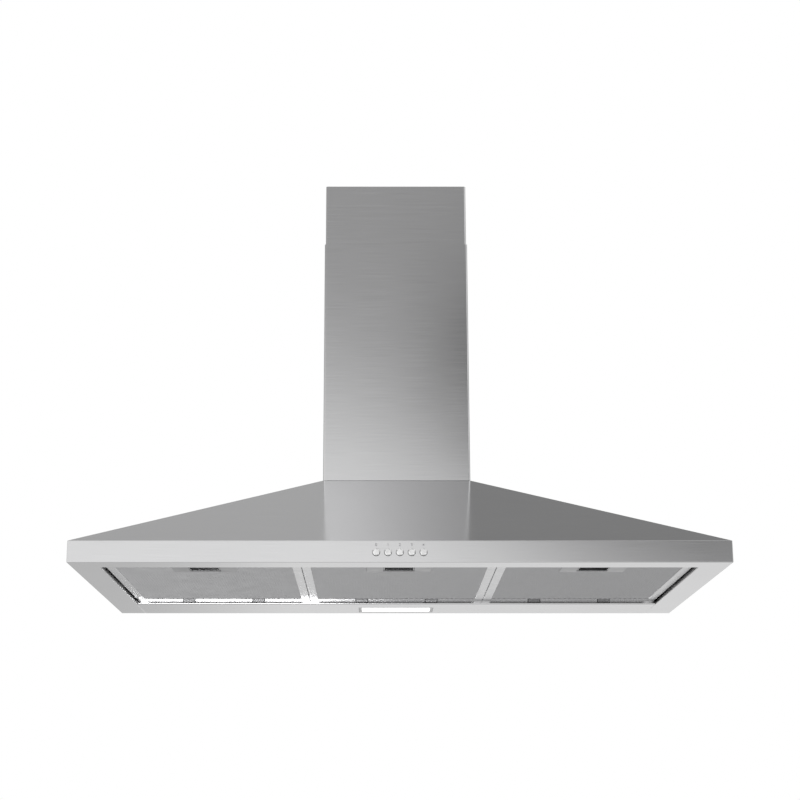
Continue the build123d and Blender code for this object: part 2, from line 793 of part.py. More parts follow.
# ---------------------------------------------------------------- outlet collar and flaps
outlet_mid_y = axis_y + (outlet_left + outlet_right) / 2
outlet_depth = outlet_right - outlet_left
with BuildPart() as outlet_collar:
    with BuildSketch(Plane.XY.offset(outlet_z)):
        with Locations((casing_x, outlet_mid_y)):
            Rectangle(casing_width + 2 * collar_flange, outlet_depth + 2 * collar_flange)
    extrude(amount=collar_flange)
    with BuildSketch(Plane.XY.offset(collar_base_z)):
        with Locations((casing_x, outlet_mid_y)):
            Rectangle(casing_width, outlet_depth)
    with BuildSketch(Plane.XY.offset(spigot_z)):
        with Locations((0, axis_y)):
            Circle(collar_radius)
    loft()
    with BuildSketch(Plane.XY.offset(spigot_z)):
        with Locations((0, axis_y)):
            Circle(collar_radius)
    extrude(amount=collar_length)
    with BuildSketch(Plane.XY.offset(outlet_z)):
        with Locations((casing_x, outlet_mid_y)):
            Rectangle(casing_width - 2 * casing_wall, outlet_depth - 2 * casing_wall)
    extrude(amount=collar_flange, mode=Mode.SUBTRACT)
    with BuildSketch(Plane.XY.offset(collar_base_z)):
        with Locations((casing_x, outlet_mid_y)):
            Rectangle(casing_width - 2 * casing_wall, outlet_depth - 2 * casing_wall)
    with BuildSketch(Plane.XY.offset(spigot_z)):
        with Locations((0, axis_y)):
            Circle(collar_radius - collar_wall)
    loft(mode=Mode.SUBTRACT)
    with BuildSketch(Plane.XY.offset(spigot_z)):
        with Locations((0, axis_y)):
            Circle(collar_radius - collar_wall)
    extrude(amount=collar_length, mode=Mode.SUBTRACT)
    with BuildSketch(Plane.XZ.offset(-axis_y)):
        with Locations((0, flap_z)):
            Circle(flap_pin_radius)
    extrude(amount=chimney_depth / 2, both=True, mode=Mode.SUBTRACT)
save(outlet_collar, "outlet_collar")

pin_half = collar_radius
with BuildPart() as flap_pin:
    with BuildSketch(Plane.XZ.offset(-axis_y)):
        with Locations((0, flap_z)):
            Circle(flap_pin_radius)
    extrude(amount=pin_half, both=True)
save(flap_pin, "flap_pin")


def flap(side):
    """Half-moon flap whose two knuckles share the pin with the other flap's."""
    reach = collar_radius - collar_wall - flap_gap
    root = flap_knuckle_radius + flap_root_gap
    knuckle_ys = [axis_y + (2 * k + side) * flap_knuckle_length for k in (-1, 1)]
    with BuildPart() as leaf:
        with BuildSketch(Plane.XY.offset(flap_z - flap_thickness / 2)):
            with Locations((0, axis_y)):
                Circle(reach)
            with Locations((-side * reach, axis_y)):
                Rectangle(2 * (reach + root), 2 * reach, mode=Mode.SUBTRACT)
            with Locations(*[(side * flap_knuckle_radius, y) for y in knuckle_ys]):
                Rectangle(2 * flap_knuckle_radius, flap_knuckle_length - flap_gap)
        extrude(amount=flap_thickness)
        for y in knuckle_ys:
            with BuildSketch(Plane.XZ.offset(-y)):
                with Locations((0, flap_z)):
                    Circle(flap_knuckle_radius)
            extrude(amount=(flap_knuckle_length - flap_gap) / 2, both=True)
        with BuildSketch(Plane.XZ.offset(-axis_y)):
            with Locations((0, flap_z)):
                Circle(flap_pin_radius + flap_pin_gap)
        extrude(amount=chimney_depth, both=True, mode=Mode.SUBTRACT)
    return leaf


flap_left = flap(-1)
save(flap_left, "flap_left")
flap_right = flap(1)
save(flap_right, "flap_right")

# ---------------------------------------------------------------- filters


def filter_frame(x):
    """Rim channel round the mesh, with a slot for the latch tongue and two hooked rear tabs."""
    inner_width = filter_width - 2 * filter_rim
    inner_depth = filter_depth - 2 * filter_rim
    with BuildPart() as frame:
        with BuildSketch(Plane.XY.offset(filter_recess)):
            with Locations((x, filter_mid_y)):
                RectangleRounded(filter_width, filter_depth, filter_corner)
        extrude(amount=filter_thickness)
        with BuildSketch(Plane.XY.offset(filter_recess + filter_sheet)):
            with Locations((x, filter_mid_y)):
                Rectangle(filter_width - 2 * filter_sheet, filter_depth - 2 * filter_sheet)
        extrude(amount=filter_thickness - 2 * filter_sheet, mode=Mode.SUBTRACT)
        with BuildSketch(Plane.XY.offset(filter_recess)):
            with Locations((x, filter_mid_y)):
                Rectangle(inner_width, inner_depth)
        extrude(amount=filter_thickness, mode=Mode.SUBTRACT)
        with BuildSketch(Plane.XZ.offset(-filter_front - filter_rim)):
            with Locations((x, tongue_z + tongue_thickness / 2)):
                Rectangle(tongue_width + 2 * latch_gap, tongue_thickness + 2 * latch_gap)
        extrude(amount=2 * filter_rim, mode=Mode.SUBTRACT)
        with BuildSketch(Plane.XY.offset(tab_z)):
            with Locations((x, filter_rear - tab_thickness / 2)):
                with GridLocations(tab_spacing, 1, 2, 1):
                    Rectangle(tab_width, tab_thickness)
        extrude(amount=tab_drop + filter_sheet)
        with BuildSketch(Plane.XY.offset(tab_z)):
            with Locations((x, (filter_rear + opening_rear + tab_reach) / 2)):
                with GridLocations(tab_spacing, 1, 2, 1):
                    Rectangle(tab_width, opening_rear + tab_reach - filter_rear)
        extrude(amount=tab_thickness)
    return frame


def filter_mesh(x):
    """Mesh pack: a flat sheet with a corrugated one on it, inside the channel, cut out for the latch."""
    width = filter_width - 2 * (filter_sheet + mesh_edge_gap)
    depth = filter_depth - 2 * (filter_sheet + mesh_edge_gap)
    front = filter_mid_y - depth / 2
    wave_count = int(depth / mesh_wave)
    step = depth / wave_count / 2
    crest = mesh_bottom + mesh_thickness - mesh_sheet
    lower = [(front + i * step, crest if i % 2 else mesh_bottom) for i in range(2 * wave_count + 1)]
    upper = [(y, z + mesh_sheet) for y, z in reversed(lower)]
    with BuildPart() as mesh:
        with BuildSketch(Plane.YZ.offset(x - width / 2)):
            with BuildLine():
                Polyline(*lower, *upper, close=True)
            make_face()
        extrude(amount=width)
        with BuildSketch(Plane.XY.offset(mesh_bottom)):
            with Locations((x, filter_mid_y)):
                Rectangle(width, depth)
        extrude(amount=mesh_sheet)
        with BuildSketch(Plane.XY.offset(mesh_bottom)):
            with Locations((x, (front + mesh_cut_rear) / 2)):
                Rectangle(cup_width + 2 * (slider_wing + latch_gap), mesh_cut_rear - front)
        extrude(amount=mesh_thickness, mode=Mode.SUBTRACT)
    return mesh


def latch_plate(x):
    """Bevelled surround of the finger latch, lying against the mesh."""
    with BuildPart() as plate:
        with BuildSketch(Plane.XY.offset(cup_bottom)):
            with Locations((x, plate_mid_y)):
                Rectangle(latch_plate_width, latch_plate_depth)
        extrude(amount=latch_plate_thickness)
        low_edges = plate.faces().sort_by(Axis.Z)[0].edges().sort_by(Axis.Y)[1:]
        chamfer(low_edges, length=latch_plate_bevel)
        with BuildSketch(Plane.XY.offset(cup_bottom)):
            with Locations((x, window_mid_y)):
                Rectangle(cup_width + 2 * latch_gap, window_depth)
        extrude(amount=latch_plate_thickness, mode=Mode.SUBTRACT)
    return plate


def latch_slider(x):
    """Finger cup, open below, with the tongue that reaches to the front lip."""
    with BuildPart() as slider:
        with BuildSketch(Plane.XY.offset(cup_bottom)):
            with Locations((x, cup_mid_y)):
                Rectangle(cup_width, cup_depth)
        extrude(amount=cup_height)
        with BuildSketch(Plane.XY.offset(cup_bottom)):
            with Locations((x, cup_mid_y)):
                Rectangle(cup_width - 2 * cup_wall, cup_depth - 2 * cup_wall)
        extrude(amount=cup_height - cup_wall, mode=Mode.SUBTRACT)
        # wings that slide on the latch plate
        with BuildSketch(Plane.XY.offset(mesh_bottom + fit_gap)):
            for side in (-1, 1):
                with Locations((x + side * (cup_width + slider_wing) / 2, cup_mid_y)):
                    Rectangle(slider_wing, cup_depth)
        extrude(amount=slider_wing_thickness)
        with BuildSketch(Plane.XY.offset(tongue_z)):
            with Locations((x, (tongue_tip + cup_front + cup_wall / 2) / 2)):
                Rectangle(tongue_width, cup_front + cup_wall / 2 - tongue_tip)
        extrude(amount=tongue_thickness)
    return slider


def latch_spring(x):
    """Compression spring between the finger cup and the mesh pack behind it."""
    pitch = (latch_spring_length - 2 * (fit_gap + latch_wire)) / latch_coil_turns
    centre_z = mesh_bottom + mesh_thickness / 2
    start = (x, cup_rear + fit_gap + latch_wire, centre_z)
    with BuildPart() as spring:
        with BuildLine() as coil:
            Helix(pitch, pitch * latch_coil_turns, latch_coil_radius, center=start, direction=(0, 1, 0))
        with BuildSketch(Plane(origin=coil.line @ 0, z_dir=coil.line % 0)):
            Circle(latch_wire)
        sweep(path=coil.line)
    return spring


for name, x in zip(filter_names, filter_xs):
    save(filter_frame(x), f"filter_frame_{name}")
    save(filter_mesh(x), f"filter_mesh_{name}")
    save(latch_plate(x), f"latch_plate_{name}")
    save(latch_slider(x), f"latch_slider_{name}")
    save(latch_spring(x), f"latch_spring_{name}")

# ---------------------------------------------------------------- switches and buttons
with BuildPart() as switch_housing:
    with BuildSketch(Plane.XZ.offset(-switch_front)):
        with Locations((0, button_height)):
            RectangleRounded(switch_width, switch_height, switch_wall)
    extrude(amount=-switch_depth)
    with BuildSketch(Plane.XZ.offset(-switch_front)):
        with Locations(*[(x, button_height) for x in button_xs]):
            Circle(stem_radius + stem_gap)
    extrude(amount=-(stem_length + button_travel), mode=Mode.SUBTRACT)
save(switch_housing, "switch_housing")

switch_seat = switch_front + switch_depth
strap_back = switch_seat + bracket_fold
ear_y = -hood_depth + sheet
with BuildPart() as switch_bracket:
    with BuildSketch(Plane.XY.offset(button_height - switch_height / 2)):
        for side in (-1, 1):
            with Locations((side * (switch_width + switch_ear) / 2, ear_y + bracket_fold / 2)):
                Rectangle(switch_ear, bracket_fold)
            with Locations((side * (switch_width + bracket_fold) / 2, (ear_y + strap_back) / 2)):
                Rectangle(bracket_fold, strap_back - ear_y)
        with Locations((0, switch_seat + bracket_fold / 2)):
            Rectangle(switch_width, bracket_fold)
    extrude(amount=switch_height)
save(switch_bracket, "switch_bracket")

button_names = ("button_off", "button_speed_1", "button_speed_2", "button_speed_3", "button_light")
cap_back = -hood_depth + sheet + fit_gap
for name, x in zip(button_names, button_xs):
    with BuildPart() as button:
        with BuildSketch(Plane.XZ.offset(hood_depth + button_proud)):
            with Locations((x, button_height)):
                Circle(button_radius)
        extrude(amount=-(button_proud + sheet + fit_gap))
        fillet(button.faces().sort_by(Axis.Y)[0].edges(), radius=button_dome)
        with BuildSketch(Plane.XZ.offset(-cap_back)):
            with Locations((x, button_height)):
                Circle(stem_radius)
        extrude(amount=-stem_length)
    save(button, name)

# ---------------------------------------------------------------- lamp
with BuildPart() as lamp_bezel:
    with BuildSketch(Plane.XY):
        with Locations((0, lamp_y)):
            Rectangle(lamp_width, lamp_depth)
            Rectangle(lens_width, lens_depth, mode=Mode.SUBTRACT)
    extrude(amount=bezel_height)
    with BuildSketch(Plane.XY.offset(bezel_height)):
        with Locations((0, lamp_y)):
            Rectangle(lamp_width, lamp_depth)
    extrude(amount=bezel_wall)
save(lamp_bezel, "lamp_bezel")

with BuildPart() as lamp_lens:
    with BuildSketch(Plane.XY.offset(lens_rise)):
        with Locations((0, lamp_y)):
            Rectangle(lens_width, lens_depth)
    extrude(amount=lens_thickness)
    fillet(lamp_lens.faces().sort_by(Axis.Z)[0].edges(), radius=lens_edge)
save(lamp_lens, "lamp_lens")

board_z = bezel_height - board_thickness
with BuildPart() as led_board:
    with BuildSketch(Plane.XY.offset(board_z)):
        with Locations((0, lamp_y)):
            Rectangle(lens_width, lens_depth / 2)
    extrude(amount=board_thickness)
    with BuildSketch(Plane.XY.offset(board_z - led_height)):
        with Locations((0, lamp_y)):
            with GridLocations(led_pitch, 1, led_count, 1):
                Rectangle(led_size, led_size)
    extrude(amount=led_height)
save(led_board, "led_board")

with BuildPart() as lamp_driver:
    with BuildSketch(Plane.XY.offset(sheet)):
        with Locations((driver_x, driver_y)):
            RectangleRounded(driver_width, driver_depth, driver_corner)
    extrude(amount=driver_height)
    fillet(lamp_driver.faces().sort_by(Axis.Z)[-1].edges(), radius=sheet)
save(lamp_driver, "lamp_driver")

# ---------------------------------------------------------------- electrics on the back panel
terminal_top = terminal_low_z + terminal_height
terminal_mid_z = terminal_low_z + terminal_height / 2
terminal_front = -back_sheet - terminal_depth
with BuildPart() as terminal_box:
    with BuildSketch(Plane.XZ.offset(back_sheet)):
        with Locations((terminal_x, terminal_mid_z)):
            RectangleRounded(terminal_width, terminal_height, 2 * terminal_wall)
    extrude(amount=terminal_depth)
    with BuildSketch(Plane.XZ.offset(back_sheet + terminal_wall)):
        with Locations((terminal_x, terminal_mid_z)):
            Rectangle(terminal_width - 2 * terminal_wall, terminal_height - 2 * terminal_wall)
    extrude(amount=terminal_depth, mode=Mode.SUBTRACT)
    with BuildSketch(Plane.XY.offset(terminal_top)):
        with Locations((terminal_x, -back_sheet - terminal_depth / 2)):
            Circle(gland_hole_radius)
    extrude(amount=-2 * terminal_wall, mode=Mode.SUBTRACT)
save(terminal_box, "terminal_box")

with BuildPart() as terminal_lid:
    with BuildSketch(Plane.XZ.offset(-terminal_front)):
        with Locations((terminal_x, terminal_mid_z)):
            RectangleRounded(terminal_width, terminal_height, 2 * terminal_wall)
    extrude(amount=terminal_wall)
    with BuildSketch(Plane.XZ.offset(-terminal_front)):
        with Locations((terminal_x, terminal_mid_z)):
            Rectangle(
                terminal_width - 2 * terminal_wall - 2 * fit_gap,
                terminal_height - 2 * terminal_wall - 2 * fit_gap,
            )
    extrude(amount=-terminal_wall)
save(terminal_lid, "terminal_lid")

with BuildPart() as cable_gland:
    gland_y = -back_sheet - terminal_depth / 2
    with BuildSketch(Plane.XY.offset(terminal_top)):
        with Locations((terminal_x, gland_y)):
            RegularPolygon(gland_radius, 6)
    extrude(amount=gland_length / 2)
    with BuildSketch(Plane.XY.offset(terminal_top)):
        with Locations((terminal_x, gland_y)):
            Circle(gland_neck_radius)
    extrude(amount=gland_length)
    with BuildSketch(Plane.XY.offset(terminal_top)):
        with Locations((terminal_x, gland_y)):
            Circle(gland_bore)
    extrude(amount=gland_length, mode=Mode.SUBTRACT)
save(cable_gland, "cable_gland")

capacitor_y = -back_sheet - clip_sheet - capacitor_radius
with BuildPart() as capacitor:
    with BuildSketch(Plane.YZ.offset(capacitor_x - capacitor_length / 2)):
        with Locations((capacitor_y, capacitor_z)):
            Circle(capacitor_radius)
    extrude(amount=capacitor_length)
    fillet(capacitor.edges().filter_by(GeomType.CIRCLE), radius=sheet)
save(capacitor, "capacitor")

with BuildPart() as capacitor_clip:
    with BuildSketch(Plane.YZ.offset(capacitor_x - clip_width / 2)):
        with Locations((capacitor_y, capacitor_z)):
            Circle(capacitor_radius + clip_sheet)
        with Locations((-back_sheet - clip_sheet / 2, capacitor_z)):
            Rectangle(clip_sheet, 3 * capacitor_radius)
        with Locations((capacitor_y, capacitor_z)):
            Circle(capacitor_radius, mode=Mode.SUBTRACT)
    extrude(amount=clip_width)
save(capacitor_clip, "capacitor_clip")


# ---------------------------------------------------------------- inner leads
def lead(points, label):
    """Round lead of straight runs and tangent arcs, as large as its runs allow."""
    route = [Vector(*p) for p in points]
    radii = []
    for a, b, c in zip(route, route[1:], route[2:]):
        turn = (b - a).get_angle(c - b)
        shorter = min((b - a).length, (c - b).length)
        radii.append(lead_bend_share * shorter / math.tan(math.radians(turn / 2)))
    print(label, "arc radii", [round(r, 1) for r in radii])
    with BuildPart() as cable:
        with BuildLine() as path:
            FilletPolyline(*route, radius=radii)
        with BuildSketch(Plane(origin=path.line @ 0, z_dir=path.line % 0)):
            Circle(lead_radius)
        sweep(path=path.line)
    tube = math.pi * lead_radius**2 * sum(e.length for e in path.edges())
    print(label, "volume over tube", round(cable.part.volume / tube, 4))
    save(cable, label)


terminal_left = terminal_x - terminal_width / 2
switch_top = button_height + switch_height / 2
lead_exit_y = switch_front + 3 * switch_depth / 4
driver_right = driver_x + driver_width / 2
bezel_top = bezel_height + bezel_wall
motor_lead_x = motor_front_x + motor_exit
motor_foot = axis_height - motor_radius

# routes as (x, y, z) points from end to end
control_route = (
    (control_exit_x, lead_exit_y, switch_top),
    (control_exit_x, lead_exit_y, switch_top + control_rise),
    (36.8, -468, 40.5),
    (38.5, -455, 46.5),
    (42, -430, 56),
    (50, -395, 69),
    (60, -355, 84),
    (72, -312, 99),
    (86, -270, 109),
    (98, -228, 112),
    (108, -186, 107),
    (116, -146, 96),
    (121, -108, 83),
    (123, -72, 71),
    (124.5, -40, 62),
    (128.5, -27.5, 59),
    (terminal_left - entry_run, *control_entry),
    (terminal_left, *control_entry),
)
lead(control_route, "control_lead")
supply_route = (
    (driver_right, driver_y, supply_exit_z),
    (driver_right + entry_run, driver_y, supply_exit_z),
    (-80, -37, 22),
    (-58, -32, 36),
    (-28, -29, 45),
    (4, -30, 49),
    (38, -33, 48),
    (72, -35, 45),
    (104, -32, 43),
    (terminal_left - entry_run, *supply_entry),
    (terminal_left, *supply_entry),
)
lead(supply_route, "supply_lead")
lamp_route = (
    (lamp_exit_x, lamp_y, bezel_top),
    (lamp_exit_x, lamp_y, bezel_top + lamp_rise),
    (-27, -40, 35),
    (-46, -46, 38),
    (-68, -51, 28),
    (driver_right + entry_run, lamp_y - lamp_entry_drop, lamp_entry_z),
    (driver_right, lamp_y - lamp_entry_drop, lamp_entry_z),
)
lead(lamp_route, "lamp_lead")
motor_route = (
    (motor_lead_x, axis_y, motor_foot),
    (motor_lead_x, axis_y, motor_foot - motor_drop),
    (90, -94, 114),
    (99, -80, 95),
    (112, -62, 82),
    (122, -48, 77),
    (127, -35, 75),
    (terminal_left - entry_run, *motor_entry),
    (terminal_left, *motor_entry),
)
lead(motor_route, "motor_lead")
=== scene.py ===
"""Looks of a wall-mounted chimney range hood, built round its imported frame."""

import logging
import math
from dataclasses import dataclass, field
from enum import Enum
from typing import Iterable

import bmesh
import bpy
from mathutils import Matrix, Vector


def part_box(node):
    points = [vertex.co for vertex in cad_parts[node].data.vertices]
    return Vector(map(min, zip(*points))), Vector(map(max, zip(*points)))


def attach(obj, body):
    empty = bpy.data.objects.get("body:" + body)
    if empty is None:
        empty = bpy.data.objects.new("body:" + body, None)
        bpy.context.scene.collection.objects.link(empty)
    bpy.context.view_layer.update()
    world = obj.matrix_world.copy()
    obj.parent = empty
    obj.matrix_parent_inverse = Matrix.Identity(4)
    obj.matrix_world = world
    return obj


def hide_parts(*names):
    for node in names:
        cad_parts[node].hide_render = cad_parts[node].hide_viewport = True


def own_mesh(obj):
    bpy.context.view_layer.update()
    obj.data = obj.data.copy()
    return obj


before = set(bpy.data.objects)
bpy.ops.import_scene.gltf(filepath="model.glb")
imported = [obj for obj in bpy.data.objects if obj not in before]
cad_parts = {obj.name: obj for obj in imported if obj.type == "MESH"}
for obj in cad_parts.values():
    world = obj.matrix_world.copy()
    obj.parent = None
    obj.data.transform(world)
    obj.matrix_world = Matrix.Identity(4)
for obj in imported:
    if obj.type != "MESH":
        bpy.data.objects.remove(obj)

log = logging.getLogger("range_hood")

Colour = tuple[float, float, float]
Point = tuple[float, float, float]

SIDES = ("left", "middle", "right")
MM = 0.001
WELD = 0.004 * MM
NEARLY_FLAT = math.radians(1.0)
NORMAL_WEIGHT = 50


# ---- node bench
class NodeBench:
    """One material's node tree with short calls to wire it."""

    NOISE_LOW = 0.3
    NOISE_HIGH = 0.7

    def __init__(self, name: str) -> None:
        """Start an empty material of that name."""
        self.material = bpy.data.materials.new(name)
        self.material.use_nodes = True
        self.nodes = self.material.node_tree.nodes
        self.links = self.material.node_tree.links
        self.nodes.clear()
        self.output = self.add("ShaderNodeOutputMaterial")

    def add(self, kind: str, **settings: object) -> bpy.types.Node:
        """Add a node and set its properties."""
        node = self.nodes.new(kind)
        for key, value in settings.items():
            setattr(node, key, value)
        return node

    def link(self, source: bpy.types.NodeSocket, target: bpy.types.NodeSocket) -> None:
        """Join two sockets."""
        self.links.new(source, target)

    def principled(self, colour: Colour, roughness: float, metallic: float = 0.0) -> bpy.types.Node:
        """Add the surface shader and join it to the output.

        Args:
            colour: Linear base colour.
            roughness: Shader roughness.
            metallic: One for bare metal.

        Returns:
            The shader node.
        """
        shader = self.add("ShaderNodeBsdfPrincipled")
        shader.inputs["Base Color"].default_value = (*colour, 1.0)
        shader.inputs["Roughness"].default_value = roughness
        shader.inputs["Metallic"].default_value = metallic
        self.link(shader.outputs[0], self.output.inputs["Surface"])
        return shader

    def place(self, scale: Point = (1.0, 1.0, 1.0), turn_z: float = 0.0) -> bpy.types.NodeSocket:
        """Give the piece's own coordinates, scaled and turned.

        Args:
            scale: Pattern cells per metre along each axis.
            turn_z: Turn about the upright axis in degrees.

        Returns:
            The vector socket.
        """
        coords = self.add("ShaderNodeTexCoord")
        mapping = self.add("ShaderNodeMapping")
        mapping.inputs["Scale"].default_value = scale
        mapping.inputs["Rotation"].default_value = (0.0, 0.0, math.radians(turn_z))
        self.link(coords.outputs["Object"], mapping.inputs["Vector"])
        return mapping.outputs["Vector"]

    def noise(
        self, vector: bpy.types.NodeSocket, scale: float, detail: float = 2.0
    ) -> bpy.types.NodeSocket:
        """Add a noise texture and give its value."""
        texture = self.add("ShaderNodeTexNoise")
        texture.inputs["Scale"].default_value = scale
        texture.inputs["Detail"].default_value = detail
        self.link(vector, texture.inputs["Vector"])
        return texture.outputs["Fac"]

    def spread(self, value: bpy.types.NodeSocket, low: float, high: float) -> bpy.types.NodeSocket:
        """Map a noise value from its usual middle band to a range."""
        node = self.add("ShaderNodeMapRange")
        node.inputs["From Min"].default_value = self.NOISE_LOW
        node.inputs["From Max"].default_value = self.NOISE_HIGH
        node.inputs["To Min"].default_value = low
        node.inputs["To Max"].default_value = high
        self.link(value, node.inputs["Value"])
        return node.outputs["Result"]

    def tint(self, value: bpy.types.NodeSocket, low: Colour, high: Colour) -> bpy.types.NodeSocket:
        """Mix two colours by a value between nought and one."""
        first, second, mixed = self.colour_mix(value)
        first.default_value = (*low, 1.0)
        second.default_value = (*high, 1.0)
        return mixed

    def colour_mix(self, value: bpy.types.NodeSocket) -> tuple[bpy.types.NodeSocket, ...]:
        """Add a colour mixer led by a value, and give its two inputs and its output."""
        mix = self.add("ShaderNodeMix", data_type="RGBA")
        self.link(value, mix.inputs["Factor"])
        return tuple(s for s in (*mix.inputs, *mix.outputs) if s.type == "RGBA")

    def vary_colour(
        self,
        value: bpy.types.NodeSocket,
        shader: bpy.types.Node,
        colour: Colour,
        shades: tuple[float, float],
    ) -> None:
        """Vary a shader's base colour between two shades of it, by a value from nought to one."""
        dark, light = (shade(colour, factor) for factor in shades)
        self.link(self.tint(value, dark, light), shader.inputs["Base Color"])

    def vary_roughness(
        self,
        noise: bpy.types.NodeSocket,
        shader: bpy.types.Node,
        roughness: float,
        swing: tuple[float, float],
    ) -> None:
        """Vary a shader's roughness by what the swing adds at a noise's low and high end."""
        low, high = (roughness + change for change in swing)
        self.link(self.spread(noise, low, high), shader.inputs["Roughness"])

    def bump(
        self, height: bpy.types.NodeSocket, shader: bpy.types.Node, depth: float, strength: float
    ) -> None:
        """Raise the surface by a height pattern."""
        node = self.add("ShaderNodeBump")
        node.inputs["Distance"].default_value = depth
        node.inputs["Strength"].default_value = strength
        self.link(height, node.inputs["Height"])
        self.link(node.outputs["Normal"], shader.inputs["Normal"])


def shade(colour: Colour, factor: float) -> Colour:
    """Scale a colour's lightness."""
    return tuple(min(1.0, c * factor) for c in colour)


# ---- finishes
@dataclass(frozen=True)
class BrushedSteel:
    """Stainless sheet brushed along its length."""

    name: str
    colour: Colour = (0.66, 0.66, 0.665)
    roughness: float = 0.16
    anisotropy: float = 0.4
    grain_per_m: float = 1500.0
    grain_along_per_m: float = 14.0
    grain_depth: float = 0.000008
    grain_strength: float = 0.15
    side_tilt: float = 0.3
    down_tilt: float = -0.9
    broad_scale: float = 0.22
    fine_share: float = 0.94
    broad_share: float = 0.06
    clouds_per_m: float = 9.0
    shades: tuple[float, float] = (0.95, 1.04)
    line_roughness: float = 0.05
    cloud_swing: tuple[float, float] = (-0.045, -0.025)

    def material(self) -> bpy.types.Material:
        """Build the sheet's material: grain along X, or along Y where the sheet faces sideways."""
        bench = NodeBench(self.name)
        shader = bench.principled(self.colour, self.roughness, 1.0)
        shader.inputs["Anisotropic"].default_value = self.anisotropy
        normal = bench.add("ShaderNodeSeparateXYZ")
        geometry = bench.add("ShaderNodeNewGeometry")
        bench.link(geometry.outputs["Normal"], normal.inputs[0])
        sideways = bench.add("ShaderNodeMath", operation="ABSOLUTE")
        bench.link(normal.outputs["X"], sideways.inputs[0])
        faces_side = bench.add("ShaderNodeMath", operation="GREATER_THAN")
        bench.link(sideways.outputs[0], faces_side.inputs[0])
        faces_side.inputs[1].default_value = self.side_tilt
        faces_down = bench.add("ShaderNodeMath", operation="LESS_THAN")
        bench.link(normal.outputs["Z"], faces_down.inputs[0])
        faces_down.inputs[1].default_value = self.down_tilt
        across = bench.add("ShaderNodeCombineXYZ")
        across.inputs["Z"].default_value = 1.0
        bench.link(faces_down.outputs[0], across.inputs["Y"])
        bench.link(across.outputs[0], shader.inputs["Tangent"])
        # fine lines run along X on the front, slope and underside, and along Y on the sides
        grain = bench.add("ShaderNodeCombineXYZ")
        grain.inputs["Z"].default_value = self.grain_per_m
        for axis, low, high in (
            ("X", self.grain_along_per_m, self.grain_per_m),
            ("Y", self.grain_per_m, self.grain_along_per_m),
        ):
            pick = bench.add("ShaderNodeMapRange")
            pick.inputs["To Min"].default_value = low
            pick.inputs["To Max"].default_value = high
            bench.link(faces_side.outputs[0], pick.inputs["Value"])
            bench.link(pick.outputs["Result"], grain.inputs[axis])
        stretch = bench.add("ShaderNodeVectorMath", operation="MULTIPLY")
        bench.link(bench.place(), stretch.inputs[0])
        bench.link(grain.outputs[0], stretch.inputs[1])
        lines = bench.noise(stretch.outputs[0], 1.0, detail=3.0)
        broad = bench.noise(stretch.outputs[0], self.broad_scale)
        clouds = bench.noise(bench.place(), self.clouds_per_m, detail=3.0)
        both = bench.add("ShaderNodeMath", operation="MULTIPLY_ADD")
        both.inputs[1].default_value = self.fine_share
        bench.link(lines, both.inputs[0])
        broad_part = bench.add("ShaderNodeMath", operation="MULTIPLY")
        broad_part.inputs[1].default_value = self.broad_share
        bench.link(broad, broad_part.inputs[0])
        bench.link(broad_part.outputs[0], both.inputs[2])
        bench.vary_colour(
            bench.spread(both.outputs[0], 0.0, 1.0), shader, self.colour, self.shades
        )
        rough = bench.add("ShaderNodeMath", operation="MULTIPLY_ADD")
        rough.inputs[1].default_value = self.line_roughness
        bench.link(lines, rough.inputs[0])
        low, high = (self.roughness + change for change in self.cloud_swing)
        bench.link(bench.spread(clouds, low, high), rough.inputs[2])
        bench.link(rough.outputs[0], shader.inputs["Roughness"])
        bench.bump(lines, shader, self.grain_depth, self.grain_strength)
        return bench.material


@dataclass(frozen=True)
class ZincSheet:
    """Galvanised sheet with a faint spangle."""

    name: str = "zinc_sheet"
    colour: Colour = (0.5, 0.51, 0.52)
    roughness: float = 0.42
    spangle_per_m: float = 160.0
    shades: tuple[float, float] = (0.93, 1.06)
    smoother: float = 0.08
    rougher: float = 0.1
    pits_per_m: float = 300.0
    pit_depth: float = 0.00002
    pit_strength: float = 0.4

    def material(self) -> bpy.types.Material:
        """Build the sheet's material."""
        bench = NodeBench(self.name)
        shader = bench.principled(self.colour, self.roughness, 1.0)
        cells = bench.add("ShaderNodeTexVoronoi", feature="F1")
        cells.inputs["Scale"].default_value = self.spangle_per_m
        bench.link(bench.place(), cells.inputs["Vector"])
        grey = bench.add("ShaderNodeSeparateXYZ")
        bench.link(cells.outputs["Color"], grey.inputs[0])
        bench.vary_colour(grey.outputs["X"], shader, self.colour, self.shades)
        rough = bench.add("ShaderNodeMapRange")
        rough.inputs["To Min"].default_value = self.roughness - self.smoother
        rough.inputs["To Max"].default_value = self.roughness + self.rougher
        bench.link(grey.outputs["Y"], rough.inputs["Value"])
        bench.link(rough.outputs["Result"], shader.inputs["Roughness"])
        pits = bench.noise(bench.place(), self.pits_per_m, detail=3.0)
        bench.bump(pits, shader, self.pit_depth, self.pit_strength)
        return bench.material


